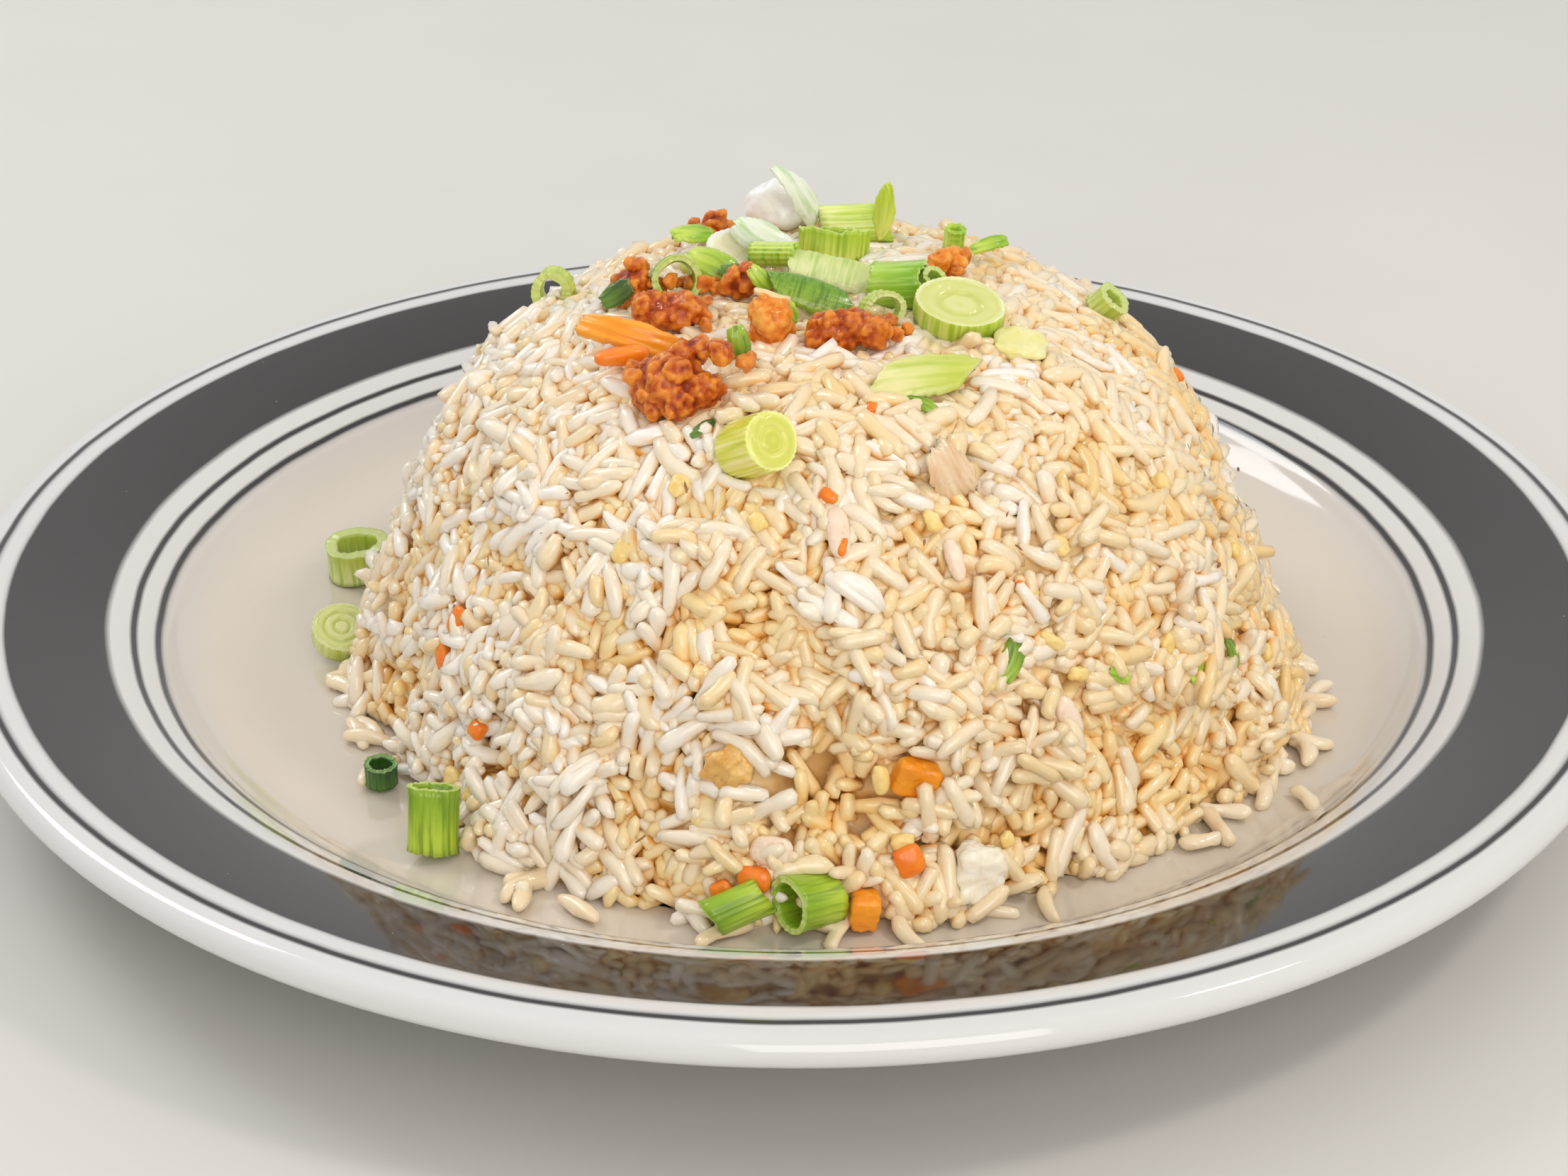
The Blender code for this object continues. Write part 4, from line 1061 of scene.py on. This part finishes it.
def make_leaves():
    """Cut strips and folds of scallion leaf, and the curled white layer of the bulb end."""
    film = scallion("clear_scallion_film", "#e8efdc", "#f1f4ea", "#b9d596", "#eef3e2", "X", 13, 1.4)
    slab = scallion("pale_ribbed_scallion", "#e2e7a8", "#ced98a", "#a6c664", "#ecefc8", "Y", 6.4, 0.9)
    leaf = scallion("dark_leaf_scallion", "#a2c046", "#74a02c", "#4c7a18", "#84ac38", "Y", 6, 0.7, (0.25, 0.4), 0.2)
    lance = scallion("slanted_pale_scallion", "#e9e6a4", "#cdd560", "#b6c648", "#eeeebc", "X", 15, 1.6)
    fold = scallion("light_fold_scallion", "#cbdc5c", "#aaca3a", "#8ab02a", "#d8e68c", "X", 7, 1.2)
    strips = (
        ("curled_white_strip", (13.0, 5.2, 0.7), 84, 70, 0.3, film, (48, 58, 14), "white_scallion", 50, 0.9, 0.0),
        ("pale_ribbed_slab", (13.2, 6.0, 1.7), 16, 30, 1.0, slab, (26, 12, -6), "pale_scallion", 6, 6.0, -0.2),
        ("dark_green_leaf", (12.6, 6.6, 0.9), 22, 95, 0.72, leaf, (34, 16, -6), "deep_green_scallion", 12, 0.9, -0.7),
        ("slanted_green_slice", (13.4, 7.8, 1.5), 20, 60, 0.72, lance, (30, -4, 4), "pale_scallion", -14, 1.1, 0.8),
        ("light_green_fold", (7.6, 6.0, 1.2), 60, 70, 0.9, fold, (34, 16, -24), "green_scallion", 20, 1.1, 0.0),
    )
    for seed, (node, size, bend, curl, tip, material, turn, slot, twist, lines, skew) in enumerate(strips):
        piece = cut_strip(node + "_cut", size, bend, curl, tip, material, 400 + 13 * seed, twist,
                          lines=lines, skew=skew)
        set_on(piece, node, turn)


def make_soft_bites():
    """The white bulb piece, onion, egg and carrot."""
    white = soft_bite("peeled_white_bulb", "#fbf7f2", "#fdfbf8", "#f6e6dd", 0.3, (1.0, 0.95, 0.9))
    clear = soft_bite("clear_green_onion", "#e6e08c", "#eee8b0", "#cdd066", 0.2)
    brown = soft_bite("browned_fried_onion", "#e2bd94", "#f0dab8", "#c79a68", 0.2, fibre=(0.3, 1, 1))
    egg = soft_bite("golden_fried_egg", "#dca652", "#ecc47a", "#b87a2c", 0.24)
    pale = soft_bite("soft_fried_onion", "#f6ecd6", "#faf4e6", "#ecd6ae", 0.24)
    orange = soft_bite("cooked_carrot", "#f4961a", "#fbab2a", "#e97a10", 0.3, (1.0, 0.5, 0.15), (0.25, 1, 1))
    soft = ((3.5, 1.1, "smooth"), (1.6, 0.35, "smooth"), (0.7, 0.1, "smooth"))
    rough = ((2.8, 1.3, "smooth"), (1.4, 0.6, "smooth"), (0.7, 0.2, "smooth"))
    chopped = ((3.2, 1.6, "cells"), (1.5, 0.5, "smooth"), (0.7, 0.16, "smooth"))
    cut = ((3.0, 0.5, "smooth"), (1.1, 0.2, "smooth"), (0.5, 0.07, "smooth"))
    bites = (
        ("white_bulb_piece", (11.2, 7.8, 9.0), soft, white, 2.2, (0, -12, 0), "cooked_onion"),
        ("clear_onion_right", (8.4, 6.6, 2.4), soft, clear, 2.4, (8, 12, -10), "cooked_onion"),
        ("golden_egg_front", (6.8, 4.4, 6.2), rough, egg, 2.6, (12, 0, 0), "fried_egg"),
        ("pale_onion_front", (6.8, 4.8, 8.8), chopped, pale, 4.0, (0, 8, 14), "cooked_onion"),
        ("carrot_chunk_front", (4.0, 4.4, 5.0), cut, orange, 6.0, (0, 6, 8), "cooked_carrot"),
        ("carrot_chip_front", (6.6, 3.0, 5.6), cut, orange, 5.0, (10, 18, 10), "cooked_carrot"),
    )
    for seed, (node, size, layers, material, square, turn, slot) in enumerate(bites):
        piece = soft_lump(node + "_cooked", size, layers, 50 + 3 * seed, material, square)
        set_on(piece, node, turn)
    skin = cut_strip("brown_onion_front_cooked", (9.4, 7.2, 0.8), 50, 40, 0.7, brown, 623, 40, 0.16, 0.8, 1.1)
    set_on(skin, "brown_onion_front", (62, 64, 12), 1.0, (0.0, 1.0, -0.5))
    strip = cut_strip("carrot_strip_cooked", (16.4, 4.4, 2.0), 80, 40, 0.75, orange, 611, 24, 0.12, 0.3, 1.3)
    set_on(strip, "carrot_strip", (50, 14, -6))


def make_fried():
    """Knobbly clusters of deep-fried garlic and crumb."""
    brown = fried_garlic("brown_fried_garlic", "#862c06", "#bd500c", "#ee9430")
    amber = fried_garlic("amber_fried_garlic", "#b8560c", "#e8821a", "#f8b04c", 3.2)
    clusters = (
        ("fried_cluster_large", (16.8, 10.6, 9.6), 30, (1.2, 2.5), brown, (18, -32, 8), 0.34),
        ("fried_cluster_left", (5.8, 6.0, 8.6), 15, (0.9, 1.8), brown, (0, 10, 0), 0.45),
        ("fried_cluster_middle", (12.4, 6.2, 5.8), 20, (0.9, 2.0), brown, (0, 6, 4), 0.4),
        ("fried_cluster_behind", (5.2, 4.6, 4.6), 8, (0.8, 1.5), brown, (0, 0, 0), 0.5),
        ("fried_piece_inner", (8.4, 5.4, 5.4), 11, (0.9, 1.9), brown, (0, 0, 12), 0.5),
        ("amber_piece", (5.8, 5.4, 9.4), 9, (1.2, 2.2), amber, (30, -8, 0), 0.8),
        ("fried_cluster_front", (14.4, 6.4, 5.8), 22, (1.0, 2.2), brown, (0, 0, -4), 0.45),
        ("fried_piece_right", (7.0, 5.4, 5.0), 9, (1.0, 2.0), amber, (0, 8, 0), 0.5),
    )
    drop = ((3.4, 1.2, "smooth"), (1.5, 0.7, "cells"), (0.8, 0.22, "smooth"))
    for seed, (node, size, knobs, knob, material, turn, core) in enumerate(clusters):
        if node == "amber_piece":
            piece = soft_lump(node + "_crisp", size, drop, 96, material, 2.3)
            mark_creases(piece)
        else:
            piece = nodule_lump(node + "_crisp", size, knobs, knob, 70 + 5 * seed, material, core=core)
        set_on(piece, node, turn, 1.14, (0, 0, 0.6))


def on_mound(azimuth, height, proud=0.0):
    """A place on the moulded surface at an azimuth in degrees and a height in mm, and the way out there."""
    rise = np.array([(height - WELL_FLOOR) / MOUND_HEIGHT])
    radius = skirt_radius(np.array([azimuth]), rise)[0] * (1.0 - rise[0]) ** (1.0 / MOUND_POWER)
    spot = MOUND_CENTRE + np.array((radius * math.cos(math.radians(azimuth)),
                                    radius * math.sin(math.radians(azimuth)), height - WELL_FLOOR))
    outward = below_surface(spot[None])[1][0]
    return spot + proud * outward, outward


def lying(outward, spin):
    """The turn, in degrees, of a piece that lies on a surface facing outward, spun on it."""
    turn = Vector(outward).to_track_quat("Z", "Y") @ Euler((0, 0, math.radians(spin))).to_quaternion()
    return [math.degrees(angle) for angle in turn.to_euler()]


def joined(name, parts, material):
    """One piece from many small ones, each given as points, quads and triangles."""
    points, quads, triangles, start = [], [], [], 0
    for part in parts:
        points.append(part[0])
        quads.append(part[1] + start)
        triangles.append(part[2] + start)
        start += len(part[0])
    thing = mesh_object(name, np.concatenate(points), np.concatenate(quads), np.concatenate(triangles), material)
    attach(thing, "root")
    return thing


def bit(size, square, layers, seed, place, outward, spin, detail=3):
    """A small swollen lump at a place: points, quads and triangles for joining."""
    points, quads, triangles = lump_arrays(size, layers, seed, square, detail)
    turn = np.array(Euler(np.radians(lying(outward, spin))).to_matrix())
    return points @ turn.T + place, quads, triangles


def make_small_greens():
    """Small rings, curls, slivers and films of scallion round the larger pieces."""
    fresh = scallion("small_fresh_scallion", "#c6dc58", "#9cc432", "#76a81e", "#d6e88c", "X", 5)
    deep = scallion("small_leaf_scallion", "#9cbc3c", "#7c9c28", "#5a7a18", "#b0cc6a", "X", 5, gloss=0.22)
    forest = scallion("small_dark_scallion", "#64882c", "#46681c", "#345014", "#94ac5c", "X", 4)
    film = scallion("small_clear_film", "#e4ecd4", "#f0f4e6", "#b5d28e", "#eef3e2", "X", 11, 1.3)
    root = scallion("small_pale_scallion", "#d9e68e", "#b4cc4c", "#98b838", "#dbe6a0", length=5)
    strips = (
        ("green_leaf_behind_ring", (7.0, 4.0, 0.9), 40, 70, fresh, (-15.9, 5.2, 76.6), (24, 8, 24), 0.3),
        ("ragged_dark_leaf", (6.6, 3.0, 0.7), 24, 40, forest, (-8.2, -10.4, 76.0), (48, 4, -14), 0.7),
        ("bright_leaf_bit", (4.2, 2.8, 0.8), 50, 60, fresh, (-5.2, -15.0, 77.0), (60, 50, -8), 0.3),
        ("short_leaf_bit", (3.8, 2.8, 0.9), 60, 60, fresh, (-0.8, -25.0, 75.6), (64, 74, 0), 0.3),
        ("clear_leaf_film", (11.6, 6.0, 0.4), 80, 90, film, (-5.0, 0.0, 77.6), (56, 24, -20), 0.9),
        ("leaf_curl_on_crown", (5.4, 3.6, 0.9), 70, 80, deep, (-7.9, -35.2, 75.0), (72, 80, 4), 0.2),
        ("dark_leaf_left", (5.0, 3.6, 0.8), 20, 40, forest, (-26.9, -15.4, 74.6), (58, -34, 0), 0.4),
        ("back_leaf_right", (6.0, 2.6, 0.9), 60, 50, fresh, (30.2, 4.0, 75.4), (30, -10, 18), 0.2),
        ("green_leaf_low_front", (6.0, 4.2, 0.8), 50, 60, deep, (10.8, -85.2, 14.6), (60, 20, 24), 0.3),
    )
    low, high = (np.array(corner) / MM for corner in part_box("yellow_green_stem"))
    lemon = scallion("small_yellow_scallion", "#d8e070", "#c6d84c", "#b0c838", "#eef0b0", "X", 8, 0.9)
    flap = cut_strip("yellow_green_tip", (9.4, 3.6, 0.8), 16, 50, 0.08, lemon, 690, 10, skew=0.5)
    set_at(flap, (high[0] - 1.6, low[1] + 1.0, high[2] - 0.4), (90, -80, 0))
    for seed, (name, size, bend, curl, material, place, turn, fray) in enumerate(strips):
        piece = cut_strip(name, size, bend, curl, 0.6, material, 700 + 9 * seed, 16, fray=fray)
        set_at(piece, place, turn)
    rings = (
        ("rolled_light_leaf", (3.6, 3.2, 7.6), 0.8, fresh, (-3.2, -3.6, 76.4), (0, 82, -22)),
        ("ring_under_fold", (6.4, 5.0, 3.4), 0.9, root, (13.0, -21.6, 75.0), (72, 0, 14)),
        ("small_curl_right", (3.8, 3.2, 3.0), 0.8, root, (20.4, -12.4, 75.8), (40, 30, 0)),
        ("back_ring_right", (3.4, 2.8, 3.4), 0.7, fresh, (24.8, 5.7, 75.6), (10, 4, 0)),
    )
    for seed, (name, size, wall, material, place, turn) in enumerate(rings):
        piece = cut_stem(name, size, wall, material, 800 + 9 * seed)
        set_at(piece, place, turn)
    slope = (
        ("leaf_sliver_front", (-66.4, 43.3), (7.4, 3.6, 0.8), deep, 60),
        ("leaf_sliver_right", (-29.7, 30.9), (5.0, 2.6, 0.7), deep, 100),
        ("leaf_sliver_low_right", (-38.0, 32.1), (4.4, 2.4, 0.7), fresh, 20),
        ("leaf_sliver_mid_right", (-51.6, 37.0), (3.6, 2.2, 0.7), fresh, 140),
        ("dark_sliver_front", (-115.0, 68.5), (4.2, 1.9, 0.5), forest, 60),
        ("dark_sliver_under_slice", (-68.6, 70.6), (5.0, 2.8, 0.6), deep, 130),
    )
    for seed, (name, (azimuth, height), size, material, spin) in enumerate(slope):
        place, outward = on_mound(azimuth, height, 0.5)
        piece = cut_strip(name, size, 30, 50, 0.4, material, 900 + 9 * seed, 14)
        set_at(piece, place, lying(outward, spin))


def make_small_bits(rng):
    """Carrot, egg and onion bits, fried crumbs, brown flecks and the loose grains on the plate."""
    cut = ((2.0, 0.3, "smooth"), (0.7, 0.12, "smooth"))
    knobbly = ((1.3, 0.5, "cells"), (0.8, 0.25, "smooth"))
    orange = soft_bite("carrot_bits_cooked", "#f07a14", "#f8921e", "#e2620c", 0.3, (1.0, 0.5, 0.15))
    carrots = ((-145.1, 37.4, 2.6, 4.4), (-146.6, 32.0, 2.2, 5.6), (-135.4, 26.2, 2.4, 2.6), (-90.0, 63.6, 2.8, 1.8),
               (-80.4, 70.6, 1.6, 1.8), (2.4, 59.1, 1.8, 2.6), (-81.2, 19.3, 4.2, 4.4), (-97.8, 17.4, 4.6, 3.6),
               (-88.0, 58.4, 1.0, 2.8), (-101.0, 15.6, 3.2, 3.0), (-63.0, 51.5, 0.8, 2.0))
    parts = []
    for seed, (azimuth, height, wide, tall) in enumerate(carrots):
        place, outward = on_mound(azimuth, height, 0.2)
        parts.append(bit((wide, tall, 2.0), 4.0, cut, 30 + seed, place, outward, rng.uniform(-40, 40)))
    parts.append(bit((8.0, 3.0, 2.4), 3.0, cut, 47, (-25.0, -36.2, 73.6), UP, 20))
    parts.append(bit((2.6, 3.2, 1.6), 4.0, cut, 48, (72.2, -42.2, 11.2), UP, 40))
    joined("carrot_bits", parts, orange)

    golden = soft_bite("golden_egg_bits", "#f2cf7c", "#f7dc98", "#e3ae4e", 0.26)
    parts = []
    for index in range(26):
        azimuth = rng.uniform(-150, 10) if index > 5 else (-101.0, -55.0, -60.0, -40.0, -84.0, -120.0)[index]
        height = rng.uniform(14, 66) if index > 5 else (60.8, 55.0, 44.0, 38.0, 30.0, 20.0)[index]
        place, outward = on_mound(azimuth, height, -0.5)
        size = (rng.uniform(2.0, 4.2), rng.uniform(1.8, 3.2), rng.uniform(1.4, 2.2))
        parts.append(bit(size, 2.6, knobbly, 60 + index, place, outward, rng.uniform(0, 180)))
    joined("golden_egg_bits", parts, golden)

    pink = soft_bite("clear_onion_bits", "#f2d6bd", "#f5e2cb", "#e3ae8c", 0.2)
    parts = []
    for index, (azimuth, height, wide, tall) in enumerate(((-88.6, 60.0, 3.2, 7.4), (-72.0, 56.0, 2.4, 6.0),
                                                           (-60.0, 34.0, 3.6, 6.6), (-96.0, 21.0, 6.0, 4.4))):
        place, outward = on_mound(azimuth, height, -0.1)
        parts.append(bit((wide, tall, 2.2), 2.4, cut, 90 + index, place, outward, rng.uniform(-20, 20), 4))
    joined("clear_onion_bits", parts, pink)

    crumb = fried_garlic("fried_crumb", "#862c06", "#b85010", "#e88e30", 1.6)
    parts = []
    for name in ("fried_cluster_large", "fried_cluster_left", "fried_cluster_middle", "fried_piece_inner",
                 "fried_cluster_front", "fried_cluster_behind", "fried_piece_right", "hollow_green_ring"):
        low, high = (np.array(corner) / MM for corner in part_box(name))
        for _ in range(7):
            spot = 0.5 * (low + high) + 0.62 * (high - low) * rng.uniform(-1, 1, 3)
            spot[2] = MOUND_CENTRE[2] + MOUND_HEIGHT + rng.uniform(0.2, 2.2)
            size = rng.uniform(1.2, 3.2, 3)
            parts.append(bit(size, 2.2, knobbly, len(parts), spot, UP, rng.uniform(0, 180)))
    mark_creases(joined("fried_crumbs", parts, crumb))

    hair = soft_bite("brown_flecks_fried", "#8a5a2a", "#a8733c", "#5f3a16", 0.35, glow_weight=0.1)
    parts = []
    for index in range(40):
        place, outward = on_mound(rng.uniform(-160, 20), rng.uniform(14, 71), rng.uniform(0.4, 1.0))
        size = (rng.uniform(0.5, 2.2), rng.uniform(0.22, 0.4), 0.25)
        parts.append(bit(size, 2.0, cut, index, place, outward, rng.uniform(0, 180), 1))
    joined("brown_flecks", parts, hair)

    count = 34
    azimuth = rng.uniform(-180, 0, count)
    radius = skirt_radius(azimuth, np.zeros(count)) + rng.uniform(-1.5, 2.4, count)
    radius[:3] += (9.0, 14.0, 6.0)
    turn = np.radians(azimuth)
    centre = np.stack((radius * np.cos(turn), radius * np.sin(turn), np.full(count, 1.3)), -1) + MOUND_CENTRE
    centre[0] = (76.0, -56.0, 11.3)
    axis = unit(np.concatenate((rng.normal(0, 1, (count, 2)), rng.normal(0, 0.08, (count, 1))), 1))
    side = across(axis, rng.normal(0, 1, (count, 3)) * (1, 1, 0.2))
    loose = Grains(centre, axis, side, rng.uniform(6.4, 9.6, count), rng.uniform(1.15, 1.4, count),
                   rng.uniform(0.2, 1.3, count))
    low, high = (np.array(corner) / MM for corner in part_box("amber_piece"))
    lying_grain = Grains(np.array([(0.5 * (low[0] + high[0]), low[1] + 3.2, high[2] + 0.5)]),
                         np.array([(0.96, -0.1, -0.26)]), np.array([(0.1, 0.99, 0.0)]), np.array([5.6]),
                         np.array([0.8]), np.array([0.4]))
    material = cooked_rice("loose_rice_waxy", *IVORY_RICE)
    grain_crowd("loose_rice_grains", loose, material, 9, 12, rng)
    grain_crowd("rice_grain_on_garlic", lying_grain, cooked_rice("oiled_rice_waxy", *GOLDEN_RICE), 9, 12, rng)


# ---------------------------------------------------------------- stage

def make_stage():
    """A plain pale floor, soft studio light and the camera."""
    floor = mesh_object("floor", np.array(((-1, -1, 0), (1, -1, 0), (1, 1, 0), (-1, 1, 0))) * 3000.0,
                        np.array(((0, 1, 2, 3),)), np.zeros((0, 3), int), pale_floor())
    world = bpy.data.worlds.new("studio")
    world.use_nodes = True
    world.node_tree.nodes["Background"].inputs["Color"].default_value = paint("#f2f1ef")
    world.node_tree.nodes["Background"].inputs["Strength"].default_value = 0.8
    bpy.context.scene.world = world
    lamps = (
        ("key_softbox", (560, -120, 820), (0, 0, 30), 130, 1.65, "#fff8ee"),
        ("window_softbox", (-640, 420, 760), (0, 0, 30), 420, 2.7, "#f6faff"),
        ("front_fill", (160, -760, 420), (0, 0, 40), 500, 2.25, "#fff9f2"),
    )
    for name, spot, aim, size, power, colour in lamps:
        light = bpy.data.lights.new(name, "AREA")
        light.size = size * MM
        light.energy = power
        light.color = paint(colour)[:3]
        lamp = bpy.data.objects.new(name, light)
        lamp.location = Vector(spot) * MM
        lamp.rotation_euler = (Vector(aim) - Vector(spot)).to_track_quat("-Z", "Y").to_euler()
        bpy.context.scene.collection.objects.link(lamp)
    lens = bpy.data.cameras.new("camera")
    lens.sensor_width = 36.0
    lens.lens = 68.57
    lens.clip_end = 20.0
    camera = bpy.data.objects.new("camera", lens)
    spot, aim = Vector((0.0, -431.84, 245.78)), Vector((0.0, 0.0, 16.0))
    pan, rise, roll = math.radians(-0.193), math.radians(0.061), math.radians(0.119)
    ahead = (aim - spot).normalized()
    right = ahead.cross(Vector((0, 0, 1))).normalized()
    ahead = (ahead * math.cos(pan) + right * math.sin(pan)).normalized()
    right = ahead.cross(Vector((0, 0, 1))).normalized()
    up = right.cross(ahead)
    ahead = (ahead * math.cos(rise) + up * math.sin(rise)).normalized()
    up = right.cross(ahead)
    right, up = right * math.cos(roll) + up * math.sin(roll), up * math.cos(roll) - right * math.sin(roll)
    camera.matrix_world = Matrix.Translation(spot * MM) @ Matrix((right, up, -ahead)).transposed().to_4x4()
    bpy.context.scene.collection.objects.link(camera)
    bpy.context.scene.camera = camera
    bpy.context.scene.view_settings.view_transform = "Standard"


def pale_floor():
    """Painted board: matt and pale, with the faint mottling that a roller leaves."""
    material, tree, body = new_material("painted_board", Roughness=0.6)
    place = add(tree, "TexCoord").outputs["Object"]
    patchy = add(tree, "TexNoise", {"Scale": per(60), "Detail": 4.0}, {"Vector": place}).outputs["Fac"]
    colour = add(tree, "Mix", {"data_type": "RGBA", 6: paint("#dcd9d4"), 7: paint("#d6d3ce")}, {0: patchy})
    tree.links.new(colour.outputs[2], body.inputs["Base Color"])
    return material


RICE_FILL = 3.1
STICKING = 0.55
HOLLOW_SIZE = 6.0
SLUMP_SIZE = 13.0
CLUMP_SIZE = 5.5
WHITE_RICE = (("#faf5ef", "#f8f0e2", "#f6e9d2"), "#f3e0c0")
IVORY_RICE = (("#f7ecda", "#f5e5c8", "#f3ddb6"), "#f1d7aa")
CREAM_RICE = (("#f6e8cc", "#f5e1ba", "#f3d9a6"), "#f0d298")
GOLDEN_RICE = (("#f6e4bc", "#f4d9a2", "#f1ce8c"), "#edc47c")
# warmer tints of the deep grains and the core: painted warm shade of the crevices
DEEP_SHADE_RICE = (("#f9eac6", "#f8e3b2", "#f6da9c"), "#f3cf84")
# amber tint and crowding range of the painted shade in the rice's crevices
CREVICE_SHADE_TINT = "#ffcc5e"
CREVICE_SHADE_RANGE = (0.6, 1.75)

make_plate()
make_rice(np.random.default_rng(7))
make_stems()
make_leaves()
make_soft_bites()
make_fried()
make_small_greens()
make_small_bits(np.random.default_rng(19))
make_stage()
